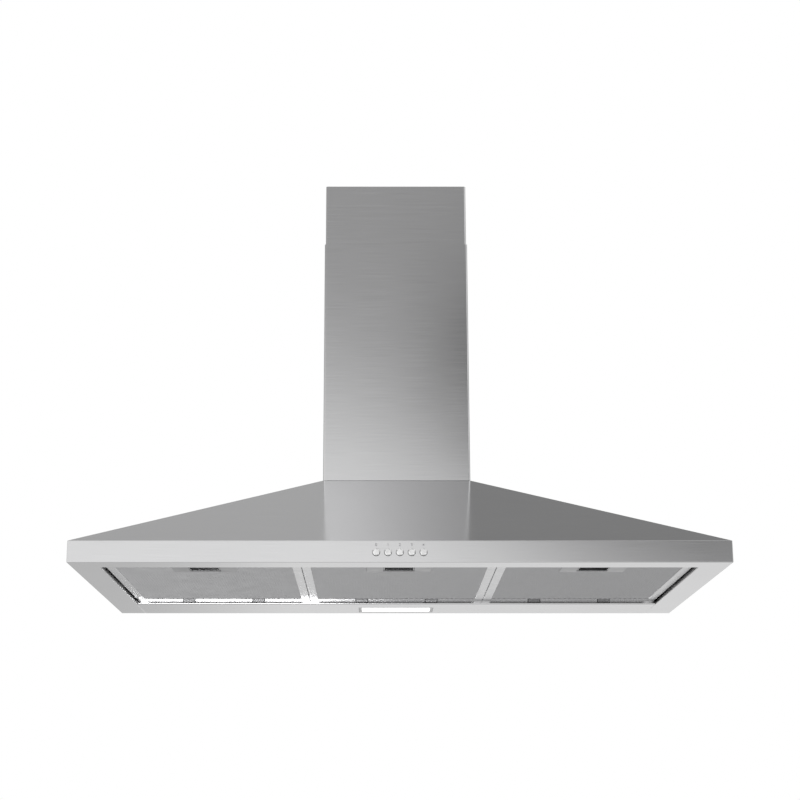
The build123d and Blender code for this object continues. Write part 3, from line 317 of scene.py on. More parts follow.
@dataclass(frozen=True)
class SatinMetal:
    """Rolled, ground or plated metal with fine drawn lines and faint handling marks."""

    name: str
    colour: Colour
    roughness: float
    lines: Point = (60.0, 900.0, 900.0)
    depth: float = 0.00001
    strength: float = 0.4
    marks_per_m: float = 45.0
    shades: tuple[float, float] = (0.94, 1.05)
    swing: tuple[float, float] = (-0.04, 0.07)

    def material(self) -> bpy.types.Material:
        """Build the metal's material."""
        bench = NodeBench(self.name)
        shader = bench.principled(self.colour, self.roughness, 1.0)
        drawn = bench.noise(bench.place(self.lines), 1.0)
        marks = bench.noise(bench.place(), self.marks_per_m, detail=4.0)
        bench.vary_colour(bench.spread(drawn, 0.0, 1.0), shader, self.colour, self.shades)
        bench.vary_roughness(marks, shader, self.roughness, self.swing)
        bench.bump(drawn, shader, self.depth, self.strength)
        return bench.material


@dataclass(frozen=True)
class RimAluminium:
    """Anodised rim of a filter, with painted shade along its rear bar and on the tabs in the rail's
    slots: a darker grey there.
    """

    name: str = "rim_aluminium"
    colour: Colour = (0.68, 0.68, 0.685)
    roughness: float = 0.27
    # painted shade: the darker grey of the rear bar and its tabs, and the Y behind which it starts
    painted_shade_bar: Colour = (0.34, 0.34, 0.345)
    painted_shade_front_y: float = -0.117
    marks_per_m: float = 60.0
    shades: tuple[float, float] = (0.95, 1.04)
    swing: tuple[float, float] = (-0.03, 0.06)
    grain_per_m: float = 500.0
    grain_depth: float = 0.00001
    grain_strength: float = 0.15

    def material(self) -> bpy.types.Material:
        """Build the rim's material."""
        bench = NodeBench(self.name)
        shader = bench.principled(self.colour, self.roughness, 1.0)
        marks = bench.noise(bench.place(), self.marks_per_m, detail=4.0)
        place = bench.add("ShaderNodeSeparateXYZ")
        bench.link(bench.place(), place.inputs[0])
        # painted shade: behind this Y, over the rear bar and its tabs in the rail's slots, the rim
        # turns darker
        in_painted_shade = bench.add("ShaderNodeMath", operation="GREATER_THAN")
        in_painted_shade.inputs[1].default_value = self.painted_shade_front_y
        bench.link(place.outputs["Y"], in_painted_shade.inputs[0])
        dark, light = (shade(self.colour, factor) for factor in self.shades)
        bright = bench.tint(bench.spread(marks, 0.0, 1.0), dark, light)
        # the rear bar and tabs take the painted shade grey in place of the rim's own colour
        rim, painted_shade_bar, mixed = bench.colour_mix(in_painted_shade.outputs[0])
        bench.link(bright, rim)
        painted_shade_bar.default_value = (*self.painted_shade_bar, 1.0)
        bench.link(mixed, shader.inputs["Base Color"])
        bench.vary_roughness(marks, shader, self.roughness, self.swing)
        grain = bench.noise(bench.place(), self.grain_per_m)
        bench.bump(grain, shader, self.grain_depth, self.grain_strength)
        return bench.material


@dataclass(frozen=True)
class MouldedPlastic:
    """Moulded plastic with a fine eroded grain."""

    name: str
    colour: Colour
    roughness: float = 0.45
    grain_per_m: float = 1400.0
    depth: float = 0.00003
    strength: float = 0.5
    clouds_per_m: float = 30.0
    shades: tuple[float, float] = (0.88, 1.1)
    swing: tuple[float, float] = (-0.05, 0.08)

    def material(self) -> bpy.types.Material:
        """Build the plastic's material."""
        bench = NodeBench(self.name)
        shader = bench.principled(self.colour, self.roughness)
        grain = bench.noise(bench.place(), self.grain_per_m)
        clouds = bench.noise(bench.place(), self.clouds_per_m, detail=3.0)
        bench.vary_colour(bench.spread(clouds, 0.0, 1.0), shader, self.colour, self.shades)
        bench.vary_roughness(clouds, shader, self.roughness, self.swing)
        bench.bump(grain, shader, self.depth, self.strength)
        return bench.material


@dataclass(frozen=True)
class FrostedLens:
    """Lit diffuser of the lamp, brightest over its row of LEDs."""

    name: str = "frosted_lens"
    glow: float = 1.25
    led_pitch: float = 0.01833
    centre_y: float = -0.038
    bright_reach: float = 0.006
    dim_reach: float = 0.024
    dim_share: float = 0.8
    ripple: float = 0.05
    colour: Colour = (0.95, 0.96, 0.97)
    roughness: float = 0.35
    specular: float = 0.4
    light_colour: Colour = (1.0, 0.99, 0.97)
    frost_per_m: float = 900.0
    frost_depth: float = 0.00004
    frost_strength: float = 0.5

    def material(self) -> bpy.types.Material:
        """Build the lens's material."""
        bench = NodeBench(self.name)
        shader = bench.principled(self.colour, self.roughness)
        shader.inputs["Specular IOR Level"].default_value = self.specular
        place = bench.add("ShaderNodeSeparateXYZ")
        bench.link(bench.place(), place.inputs[0])
        wave = bench.add("ShaderNodeMath", operation="MULTIPLY")
        wave.inputs[1].default_value = 2.0 * math.pi / self.led_pitch
        bench.link(place.outputs["X"], wave.inputs[0])
        hump = bench.add("ShaderNodeMath", operation="COSINE")
        bench.link(wave.outputs[0], hump.inputs[0])
        off = bench.add("ShaderNodeMath", operation="ADD")
        off.inputs[1].default_value = -self.centre_y
        bench.link(place.outputs["Y"], off.inputs[0])
        away = bench.add("ShaderNodeMath", operation="ABSOLUTE")
        bench.link(off.outputs[0], away.inputs[0])
        fall = bench.add("ShaderNodeMapRange", interpolation_type="SMOOTHSTEP")
        fall.inputs["From Min"].default_value = self.bright_reach
        fall.inputs["From Max"].default_value = self.dim_reach
        fall.inputs["To Min"].default_value = self.glow
        fall.inputs["To Max"].default_value = self.dim_share * self.glow
        bench.link(away.outputs[0], fall.inputs["Value"])
        level = bench.add("ShaderNodeMath", operation="MULTIPLY_ADD")
        level.inputs[1].default_value = -self.ripple
        bench.link(hump.outputs[0], level.inputs[0])
        bench.link(fall.outputs["Result"], level.inputs[2])
        shader.inputs["Emission Color"].default_value = (*self.light_colour, 1.0)
        bench.link(level.outputs[0], shader.inputs["Emission Strength"])
        frost = bench.noise(bench.place(), self.frost_per_m)
        bench.bump(frost, shader, self.frost_depth, self.frost_strength)
        return bench.material


@dataclass(frozen=True)
class PrintedInk:
    """Dark ink of the marks over the buttons."""

    name: str = "printed_ink"
    colour: Colour = (0.12, 0.12, 0.125)
    roughness: float = 0.55
    wear_per_m: float = 2200.0
    shades: tuple[float, float] = (0.8, 1.7)

    def material(self) -> bpy.types.Material:
        """Build the ink's material."""
        bench = NodeBench(self.name)
        shader = bench.principled(self.colour, self.roughness)
        worn = bench.noise(bench.place(), self.wear_per_m, detail=3.0)
        bench.vary_colour(bench.spread(worn, 0.0, 1.0), shader, self.colour, self.shades)
        return bench.material


class Finish(Enum):
    """Every finish on the hood."""

    CANOPY_STEEL = BrushedSteel("canopy_steel")
    CHIMNEY_STEEL = BrushedSteel("chimney_steel")
    RAIL_STEEL = BrushedSteel("rail_steel")
    ZINC = ZincSheet()
    FRAME_ALUMINIUM = RimAluminium()
    STRAND_ALUMINIUM = SatinMetal(
        "strand_aluminium", (0.4, 0.4, 0.405), 0.34, (900.0, 900.0, 900.0)
    )
    PACK_ALUMINIUM = SatinMetal(
        "pack_aluminium", (0.22, 0.22, 0.225), 0.5, (700.0, 700.0, 700.0), 0.00006
    )
    LATCH_ALLOY = SatinMetal("latch_alloy", (0.3, 0.3, 0.305), 0.18)
    PLATE_ALUMINIUM = SatinMetal("plate_aluminium", (0.36, 0.36, 0.365), 0.34)
    BUTTON_CHROME = SatinMetal("button_chrome", (0.82, 0.82, 0.82), 0.16, (300.0, 300.0, 300.0))
    SCREW_ZINC = SatinMetal("screw_zinc", (0.6, 0.6, 0.58), 0.3, (500.0, 500.0, 500.0))
    SPRING_WIRE = SatinMetal("spring_wire", (0.45, 0.45, 0.46), 0.25, (900.0, 900.0, 900.0))
    SHAFT_STEEL = SatinMetal("shaft_steel", (0.55, 0.55, 0.56), 0.22, (900.0, 60.0, 60.0))
    MOTOR_ENAMEL = MouldedPlastic("motor_enamel", (0.05, 0.055, 0.06), 0.35, 900.0)
    DARK_PLASTIC = MouldedPlastic("dark_plastic", (0.025, 0.025, 0.028))
    GREY_PLASTIC = MouldedPlastic("grey_plastic", (0.4, 0.41, 0.42))
    BEZEL_PLASTIC = MouldedPlastic("bezel_plastic", (0.5, 0.5, 0.5), 0.4)
    CASING_PLASTIC = MouldedPlastic("casing_plastic", (0.04, 0.04, 0.043), 0.4, 1000.0)
    WHITE_CAN = MouldedPlastic("white_can", (0.75, 0.75, 0.73), 0.35)
    BOARD_WHITE = MouldedPlastic("board_white", (0.8, 0.82, 0.8), 0.3, 2500.0)
    LEAD_SHEATH = MouldedPlastic("lead_sheath", (0.06, 0.06, 0.065), 0.5, 1800.0)
    LENS = FrostedLens()
    INK = PrintedInk()


MADE: dict[str, bpy.types.Material] = {}
LEFT, AHEAD, UP = (-1.0, 0.0, 0.0), (0.0, -1.0, 0.0), (0.0, 0.0, 1.0)
RIGHT, BACK, DOWN = (1.0, 0.0, 0.0), (0.0, 1.0, 0.0), (0.0, 0.0, -1.0)


def finish_material(finish: Finish) -> bpy.types.Material:
    """Give a finish's material, built once."""
    if finish.name not in MADE:
        MADE[finish.name] = finish.value.material()
    return MADE[finish.name]


# ---- bench work on meshes
def dress(nodes: Iterable[str], finish: Finish) -> None:
    """Put a finish on nodes whose shape stays as it is.

    Args:
        nodes: Names of the nodes.
        finish: The finish they get.
    """
    material = finish_material(finish)
    for name in nodes:
        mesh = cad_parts[name].data
        mesh.materials.clear()
        mesh.materials.append(material)
        log.info("dressed %s with %s", name, finish.name)


def settle(
    bm: bmesh.types.BMesh, name: str, body: str, finish: Finish
) -> bpy.types.Object:
    """Turn a worked mesh into a piece that rides on a body.

    Args:
        bm: The finished mesh, in the hood's frame. It is freed.
        name: The piece's name.
        body: The moving body that it rides on.
        finish: The finish it gets.

    Returns:
        The piece.
    """
    mesh = bpy.data.meshes.new(name)
    bm.to_mesh(mesh)
    bm.free()
    mesh.materials.append(finish_material(finish))
    piece = bpy.data.objects.new(name, mesh)
    bpy.context.scene.collection.objects.link(piece)
    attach(piece, body)
    log.info("made %s: %d faces on %s", name, len(mesh.polygons), body)
    return piece


def merged_copy(node: str) -> bmesh.types.BMesh:
    """Give a node's mesh with its loose triangles welded into flat faces."""
    bm = bmesh.new()
    bm.from_mesh(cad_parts[node].data)
    bmesh.ops.remove_doubles(bm, verts=bm.verts, dist=WELD)
    bmesh.ops.dissolve_limit(bm, angle_limit=NEARLY_FLAT, verts=bm.verts, edges=bm.edges)
    return bm


def round_edges(
    bm: bmesh.types.BMesh, edges: list[bmesh.types.BMEdge], radius: float, segments: int
) -> None:
    """Round some edges of a mesh in steps, to a width in metres."""
    bmesh.ops.bevel(
        bm,
        geom=edges,
        offset=radius,
        offset_type="OFFSET",
        segments=segments,
        profile=0.5,
        affect="EDGES",
        clamp_overlap=True,
        material=-1,
    )


def soften(
    bm: bmesh.types.BMesh, radius: float, segments: int = 2, least_angle: float = 40.0
) -> None:
    """Round every edge that is sharper than an angle.

    Args:
        bm: The mesh to work on.
        radius: Width of the rounding in metres.
        segments: Steps of the rounding.
        least_angle: Edges flatter than this, in degrees, stay.
    """
    least = math.radians(least_angle)
    sharp = [e for e in bm.edges if len(e.link_faces) == 2 and e.calc_face_angle() > least]
    round_edges(bm, sharp, radius, segments)


def rounded_piece(
    node: str, body: str, finish: Finish, radius: float, segments: int = 2
) -> bpy.types.Object:
    """Make a copy of a node with its edges rounded, and let it stand for the node.

    Args:
        node: Name of the node that it replaces.
        body: The body it rides on.
        finish: The finish it gets.
        radius: Rounding of its edges in metres.
        segments: Steps of the rounding.

    Returns:
        The piece.
    """
    bm = merged_copy(node)
    soften(bm, radius, segments)
    piece = settle(bm, f"{node}_shaped", body, finish)
    even_normals(piece)
    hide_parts(node)
    return piece


def even_normals(piece: bpy.types.Object, angle: float = 50.0) -> None:
    """Shade roundings smooth while the flat faces beside them stay flat.

    Args:
        piece: The piece to shade.
        angle: Edges sharper than this, in degrees, stay crisp.
    """
    piece.data.shade_smooth()
    piece.data.set_sharp_from_angle(angle=math.radians(angle))
    weighted = piece.modifiers.new("even_normals", "WEIGHTED_NORMAL")
    weighted.keep_sharp = True
    weighted.weight = NORMAL_WEIGHT


def add_box(bm: bmesh.types.BMesh, low: Point, high: Point) -> list[bmesh.types.BMVert]:
    """Add a closed box between two corners and give its vertices."""
    made = bmesh.ops.create_cube(bm, size=1.0)["verts"]
    size = [h - l for l, h in zip(low, high)]
    middle = [(l + h) / 2 for l, h in zip(low, high)]
    bmesh.ops.scale(bm, vec=size, verts=made)
    bmesh.ops.translate(bm, vec=middle, verts=made)
    return made


# ---- sub-assemblies
@dataclass
class Canopy:
    """Pyramid canopy, its back panel and the rail behind the filters."""

    body: str = "hood"
    shell_fold: float = 0.95 * MM
    rail_fold: float = 1.6 * MM
    rail_strip_top: float = 1.7 * MM
    fold_steps: int = 5
    strip: float = 5.0 * MM
    shortest_lip: float = 100.0 * MM
    slack: float = 0.05 * MM
    cut_slack: float = 0.001 * MM
    coplanar_angle: float = 0.00005
    upright_tilt: float = 0.1
    level_tilt: float = -0.9

    def build(self) -> None:
        """Fold the lips round the filters and dress the canopy's sheets and screws."""
        rail_low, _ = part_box("rear_rail")
        window_low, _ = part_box("filter_frame_left")
        _, window_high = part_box("filter_frame_right")
        beside = (
            ((window_low.x - self.strip, 0.0, 0.0), RIGHT),
            ((window_high.x + self.strip, 0.0, 0.0), RIGHT),
            ((0.0, window_low.y - self.strip, 0.0), BACK),
        )
        behind = (
            ((0.0, rail_low.y + self.strip, 0.0), BACK),
            ((0.0, 0.0, self.rail_strip_top), UP),
        )
        self.fold("canopy_shell", Finish.CANOPY_STEEL, self.shell_fold, beside)
        self.fold("rear_rail", Finish.RAIL_STEEL, self.rail_fold, behind)
        dress(("back_panel", "blower_plate"), Finish.ZINC)
        dress(("rail_screws", "plate_screws"), Finish.SCREW_ZINC)

    def lips(self, bm: bmesh.types.BMesh) -> list[bmesh.types.BMEdge]:
        """Find the feet of the lips that stand round the filters.

        Args:
            bm: The sheet's mesh.

        Returns:
            The long edges between the level underside and an upright face turned to the filters.
        """
        low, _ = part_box("filter_frame_left")
        _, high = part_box("filter_frame_right")
        middle = (low + high) / 2
        found = []
        for edge in bm.edges:
            at_foot = all(v.co.z < self.slack for v in edge.verts)
            if not at_foot or len(edge.link_faces) != 2 or edge.calc_length() < self.shortest_lip:
                continue
            upright = [f for f in edge.link_faces if abs(f.normal.z) < self.upright_tilt]
            level = [f for f in edge.link_faces if f.normal.z < self.level_tilt]
            if not upright or not level:
                continue
            place = (edge.verts[0].co + edge.verts[1].co) / 2
            across = upright[0].normal
            inward = across.x * (middle.x - place.x) + across.y * (middle.y - place.y) > 0.0
            near_x = abs(place.x) < high.x + self.strip
            near_y = low.y - self.strip < place.y < high.y + self.strip
            if inward and near_x and near_y:
                found.append(edge)
        return found

    def fold(
        self, node: str, finish: Finish, radius: float, cuts: Iterable[tuple[Point, Point]]
    ) -> None:
        """Round the fold where a node's underside turns up into its lips beside the filters.

        Args:
            node: Name of the sheet's node.
            finish: The sheet's finish.
            radius: Outer radius of the fold.
            cuts: Points and normals of planes that give the lips clean strips of their own.
        """
        bm = merged_copy(node)
        for point, normal in cuts:
            bmesh.ops.bisect_plane(
                bm,
                geom=[*bm.verts, *bm.edges, *bm.faces],
                dist=self.cut_slack,
                plane_co=point,
                plane_no=normal,
            )
        corners = {v for e in self.lips(bm) for v in e.verts}
        seams = [
            e
            for e in bm.edges
            if e.is_manifold
            and corners & set(e.verts)
            and e.calc_face_angle() < self.coplanar_angle
        ]
        bmesh.ops.dissolve_edges(bm, edges=seams, use_verts=False)
        lips = self.lips(bm)
        log.info("%s: %d lips folded", node, len(lips))
        round_edges(bm, lips, radius, self.fold_steps)
        piece = settle(bm, f"{node}_shaped", self.body, finish)
        even_normals(piece)
        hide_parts(node)


@dataclass
class ChimneyCovers:
    """Lower cover and the narrower upper cover that slides in it."""

    def build(self) -> None:
        """Dress both covers, their screws and the wall bracket."""
        dress(("lower_cover", "upper_cover"), Finish.CHIMNEY_STEEL)
        dress(("ceiling_bracket",), Finish.ZINC)
        dress(("cover_screws", "bracket_screws"), Finish.SCREW_ZINC)


@dataclass
class FilterCassette:
    """One grease filter with its rim, expanded mesh, latch surround and finger latch."""

    side: str
    cell_x: float = 8.0 * MM
    cell_y: float = 5.0 * MM
    strand: float = 0.9 * MM
    gauge: float = 0.12 * MM
    twist: float = 0.35 * MM
    sheet_below: float = 0.4 * MM
    latch_travel: float = 6.0 * MM
    frame_edge: float = 0.9 * MM
    frame_steps: int = 3
    plate_edge: float = 0.4 * MM
    slider_edge: float = 0.3 * MM
    body: str = field(init=False)

    def __post_init__(self) -> None:
        """Name the body the cassette rides on."""
        self.body = f"filter_{self.side}"

    def build(self) -> None:
        """Make and dress the cassette's pieces."""
        side = self.side
        rim, plate, slider = f"filter_frame_{side}", f"latch_plate_{side}", f"latch_slider_{side}"
        slot, edge, steps = "filter_frame_aluminium", self.frame_edge, self.frame_steps
        rounded_piece(rim, self.body, Finish.FRAME_ALUMINIUM, edge, steps)
        rounded_piece(plate, self.body, Finish.PLATE_ALUMINIUM, self.plate_edge)
        latch = f"latch_{side}"
        rounded_piece(slider, latch, Finish.LATCH_ALLOY, self.slider_edge)
        self.return_spring()
        dress((f"filter_mesh_{side}",), Finish.PACK_ALUMINIUM)
        self.expanded_sheet()

    def return_spring(self) -> None:
        """Copy the finger latch's spring, welded, as a coil that rides on the filter."""
        node = f"latch_spring_{self.side}"
        bm = bmesh.new()
        bm.from_mesh(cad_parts[node].data)
        bmesh.ops.remove_doubles(bm, verts=bm.verts, dist=WELD)
        spring = settle(bm, f"{node}_coil", self.body, Finish.SPRING_WIRE)
        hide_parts(node)
        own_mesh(spring)

    def expanded_sheet(self) -> None:
        """Stretch a sheet of expanded metal over the pack's face, inside the rim's window."""
        low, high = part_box(f"filter_mesh_{self.side}")
        plate_low, plate_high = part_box(f"latch_plate_{self.side}")
        width, depth = high.x - low.x, high.y - low.y
        bm = bmesh.new()
        bmesh.ops.create_grid(
            bm,
            x_segments=round(width / self.cell_x),
            y_segments=round(depth / self.cell_y),
            size=0.5,
        )
        bmesh.ops.scale(bm, vec=(width, depth, 1.0), verts=bm.verts)
        centre = ((low.x + high.x) / 2, (low.y + high.y) / 2, low.z - self.sheet_below)
        bmesh.ops.translate(bm, vec=centre, verts=bm.verts)
        # each square gets a middle point; without the squares' sides the triangles pair as diamonds
        sides = [e for e in bm.edges if len(e.link_faces) == 2]
        bmesh.ops.poke(bm, faces=bm.faces)
        bmesh.ops.dissolve_edges(bm, edges=sides, use_verts=False)
        under_plate = [
            f
            for f in bm.faces
            if plate_low.x + self.cell_x < f.calc_center_median().x < plate_high.x - self.cell_x
            and f.calc_center_median().y < plate_high.y - self.cell_y
        ]
        bmesh.ops.delete(bm, geom=under_plate, context="FACES")
        # cut the diamonds out and twist the strands between them to face the front of the hood
        cells = list(bm.faces)
        bmesh.ops.inset_individual(bm, faces=cells, thickness=self.strand / 2)
        for cell in cells:
            middle = cell.calc_center_median().y
            reach = max(v.co.y for v in cell.verts) - middle
            for vert in cell.verts:
                vert.co.z += self.twist * (vert.co.y - middle) / reach
        bmesh.ops.delete(bm, geom=cells, context="FACES")
        bmesh.ops.solidify(bm, geom=bm.faces, thickness=self.gauge)
        bmesh.ops.recalc_face_normals(bm, faces=bm.faces)
        name, slot = f"expanded_sheet_{self.side}", "filter_mesh_aluminium"
        settle(bm, name, self.body, Finish.STRAND_ALUMINIUM)


@dataclass
class ControlStrip:
    """Five push buttons in the band and the marks printed over them."""

    body: str = "hood"
    marks: tuple[tuple[str, str], ...] = (
        ("button_off", "0"),
        ("button_speed_1", "1"),
        ("button_speed_2", "2"),
        ("button_speed_3", "3"),
    )
    lamp_button: str = "button_light"
    button_edge: float = 2.2 * MM
    button_steps: int = 4
    font_scale: float = 1.4
    font_steps: int = 3
    disc_steps: int = 24
    mark_height: float = 4.0 * MM
    mark_thickness: float = 0.03 * MM
    mark_lift: float = 0.04 * MM
    mark_weld: float = 0.003 * MM
    mark_z: float = 24.2 * MM
    ray_count: int = 8
    disc_radius: float = 0.75 * MM
    ray_length: float = 0.7 * MM
    ray_width: float = 0.3 * MM
    ray_start: float = 1.15 * MM

    def build(self) -> None:
        """Dress the buttons and print the marks."""
        names = [name for name, _ in self.marks] + [self.lamp_button]
        for name in names:
            edge, steps = self.button_edge, self.button_steps
            rounded_piece(name, name, Finish.BUTTON_CHROME, edge, steps)
        dress(("switch_housing",), Finish.DARK_PLASTIC)
        dress(("switch_bracket",), Finish.ZINC)
        for name, text in self.marks:
            self.print_digit(name, text)
        self.print_lamp_sign()

    def stand(self, bm: bmesh.types.BMesh, name: str) -> None:
        """Stand a flat mark up on the band's face over a button.

        Args:
            bm: The mark, drawn round the origin in X and Y. It is freed.
            name: The button's name.
        """
        low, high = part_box(name)
        face_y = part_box("canopy_shell")[0].y
        turn = Matrix.Rotation(math.radians(90.0), 4, "X")
        place = Matrix.Translation(((low.x + high.x) / 2, face_y - self.mark_lift, self.mark_z))
        bmesh.ops.transform(bm, matrix=place @ turn, verts=bm.verts)
        settle(bm, f"{name}_mark", self.body, Finish.INK)

    def print_digit(self, name: str, text: str) -> None:
        """Print a digit over a button."""
        curve = bpy.data.curves.new(f"{name}_digit", "FONT")
        curve.body = text
        curve.align_x, curve.align_y = "CENTER", "CENTER"
        curve.size = self.mark_height * self.font_scale
        curve.extrude = self.mark_thickness / 2
        curve.resolution_u = self.font_steps
        drawn = bpy.data.objects.new(f"{name}_digit", curve)
        bpy.context.scene.collection.objects.link(drawn)
        bpy.context.view_layer.update()
        depsgraph = bpy.context.evaluated_depsgraph_get()
        mesh = bpy.data.meshes.new_from_object(drawn.evaluated_get(depsgraph))
        bm = bmesh.new()
        bm.from_mesh(mesh)
        bpy.data.objects.remove(drawn)
        bpy.data.curves.remove(curve)
        bpy.data.meshes.remove(mesh)
        bmesh.ops.remove_doubles(bm, verts=bm.verts, dist=self.mark_weld)
        self.stand(bm, name)

    def print_lamp_sign(self) -> None:
        """Print a small disc with rays over the light button."""
        bm = bmesh.new()
        bmesh.ops.create_cone(
            bm,
            cap_ends=True,
            segments=self.disc_steps,
            radius1=self.disc_radius,
            radius2=self.disc_radius,
            depth=self.mark_thickness,
        )
        for index in range(self.ray_count):
            ray = add_box(
                bm,
                (self.ray_start, -self.ray_width / 2, -self.mark_thickness / 2),
                (self.ray_start + self.ray_length, self.ray_width / 2, self.mark_thickness / 2),
            )
            turn = Matrix.Rotation(math.tau * index / self.ray_count, 3, "Z")
            bmesh.ops.rotate(bm, cent=(0.0, 0.0, 0.0), matrix=turn, verts=ray)
        self.stand(bm, self.lamp_button)


@dataclass
class LampUnit:
    """Lamp in the rear rail: bezel, lit lens, LED board and driver."""

    def build(self) -> None:
        """Dress the lamp."""
        dress(("lamp_lens",), Finish.LENS)
        dress(("lamp_bezel",), Finish.BEZEL_PLASTIC)
        dress(("led_board",), Finish.BOARD_WHITE)
        dress(("lamp_driver",), Finish.DARK_PLASTIC)


@dataclass
class Blower:
    """Fan casing, wheel, motor, collar and flaps."""

    def build(self) -> None:
        """Dress the blower."""
        dress(("casing_left", "casing_right", "impeller"), Finish.CASING_PLASTIC)
        dress(("outlet_collar",), Finish.DARK_PLASTIC)
        dress(("flap_left", "flap_right"), Finish.GREY_PLASTIC)
        dress(("motor",), Finish.MOTOR_ENAMEL)
        dress(("motor_shaft", "flap_pin"), Finish.SHAFT_STEEL)
        dress(("motor_bracket",), Finish.ZINC)
        dress(("casing_screws", "foot_screws", "motor_screws"), Finish.SCREW_ZINC)


@dataclass
class Electrics:
    """Terminal box, capacitor and the four inner leads."""

    def build(self) -> None:
        """Dress the electrics."""
        dress(("terminal_box", "terminal_lid"), Finish.GREY_PLASTIC)
        dress(("cable_gland",), Finish.DARK_PLASTIC)
        dress(("capacitor",), Finish.WHITE_CAN)
        dress(("capacitor_clip",), Finish.ZINC)
        dress(("control_lead", "supply_lead", "lamp_lead", "motor_lead"), Finish.LEAD_SHEATH)


# ---- studio
@dataclass(frozen=True)
class SoftCard:
    """A soft box or a grey card of the studio, as the metal mirrors it.

    Each edge is a direction and the two values along it between which the card fades in.
    """

    level: float
    edges: tuple[tuple[Point, float, float], ...]


IN_FRONT = (AHEAD, -0.25, 0.25)
BEHIND = (BACK, -0.25, 0.25)
STUDIO_CARDS = (
    # in front: a wide box low at the left, a dark card at its right, a box overhead
    SoftCard(
        0.68,
        (IN_FRONT, (UP, 0.35, 0.19), (DOWN, 0.62, 0.45), ((1.0, 0.0, 1.35), 0.44, 0.26)),
    ),
    SoftCard(
        -0.28,
        (IN_FRONT, (RIGHT, 0.00, 0.09), (RIGHT, 0.34, 0.14), (UP, 0.38, 0.29), (UP, 0.15, 0.26)),
    ),
    SoftCard(
        -0.15,
        (IN_FRONT, (RIGHT, 0.02, 0.07), (RIGHT, 0.34, 0.14), (UP, 0.34, 0.29), (UP, 0.21, 0.26)),
    ),
    SoftCard(-0.12, (IN_FRONT, (RIGHT, 0.04, 0.14), (RIGHT, 0.50, 0.32), (UP, 0.30, 0.18))),
    SoftCard(0.10, (IN_FRONT, (UP, 0.52, 0.66), (UP, 0.90, 0.76))),
    SoftCard(0.85, (IN_FRONT, (UP, 0.52, 0.66), (UP, 0.90, 0.76), (LEFT, -0.07, 0.05))),
    # below: a pale floor, lighter towards the left
    SoftCard(0.22, ((DOWN, 0.45, 0.70),)),
    SoftCard(0.95, ((DOWN, 0.45, 0.70), (LEFT, 0.43, 0.53))),
    # at the right: a bright wall over the level, and a brighter patch low down
    SoftCard(0.55, ((RIGHT, 0.30, 0.45), (RIGHT, 0.94, 0.84), (UP, -0.05, 0.05))),
    SoftCard(
        0.90,
        ((RIGHT, 0.62, 0.72), (DOWN, 0.42, 0.52), (DOWN, 0.75, 0.65), (BACK, 0.60, 0.45)),
    ),
    # behind: grey above, darker at the right, and pale below
    SoftCard(0.08, (BEHIND, (UP, 0.10, 0.30), (LEFT, -0.02, 0.02))),
    SoftCard(-0.15, (BEHIND, (UP, 0.10, 0.30), (RIGHT, -0.02, 0.02), (RIGHT, 0.50, 0.32))),
    SoftCard(0.17, (BEHIND, (DOWN, -0.10, 0.05), (DOWN, 0.60, 0.42))),
    SoftCard(0.24, (BEHIND, (DOWN, -0.10, 0.05), (DOWN, 0.60, 0.42), (RIGHT, -0.16, -0.04))),
    # the ceiling
    SoftCard(0.36, ((UP, 0.76, 0.92),)),
)


@dataclass(frozen=True)
class SoftLamp:
    """An area lamp that the camera doesn't see."""

    name: str
    place: Point
    aim: Point
    watts: float
    sides: tuple[float, ...]
    mirrored: bool = False

    def hang(self) -> bpy.types.Object:
        """Make the lamp, square where it has one side's length and oblong where it has two."""
        light = bpy.data.lights.new(self.name, "AREA")
        light.energy = self.watts
        light.size = self.sides[0]
        if len(self.sides) > 1:
            light.shape = "RECTANGLE"
            light.size_y = self.sides[1]
        lamp = bpy.data.objects.new(self.name, light)
        lamp.location = self.place
        beam = Vector(self.aim) - Vector(self.place)
        lamp.rotation_euler = beam.to_track_quat("-Z", "Y").to_euler()
        lamp.visible_camera = False
        lamp.visible_glossy = self.mirrored
        bpy.context.scene.collection.objects.link(lamp)
        return lamp


HOOD_MIDDLE = (0.0, -0.2, 0.2)
KEY_LAMP = SoftLamp("key_lamp", (-2.2, -2.6, 2.4), HOOD_MIDDLE, 60.0, (2.2,))
FILL_LAMP = SoftLamp("fill_lamp", (2.6, -1.8, 1.2), HOOD_MIDDLE, 18.0, (2.0,))
LOW_LAMP = SoftLamp("low_lamp", (-0.45, -2.5, -0.38), (-0.25, -0.11, 0.0), 9.0, (0.6, 0.45), True)


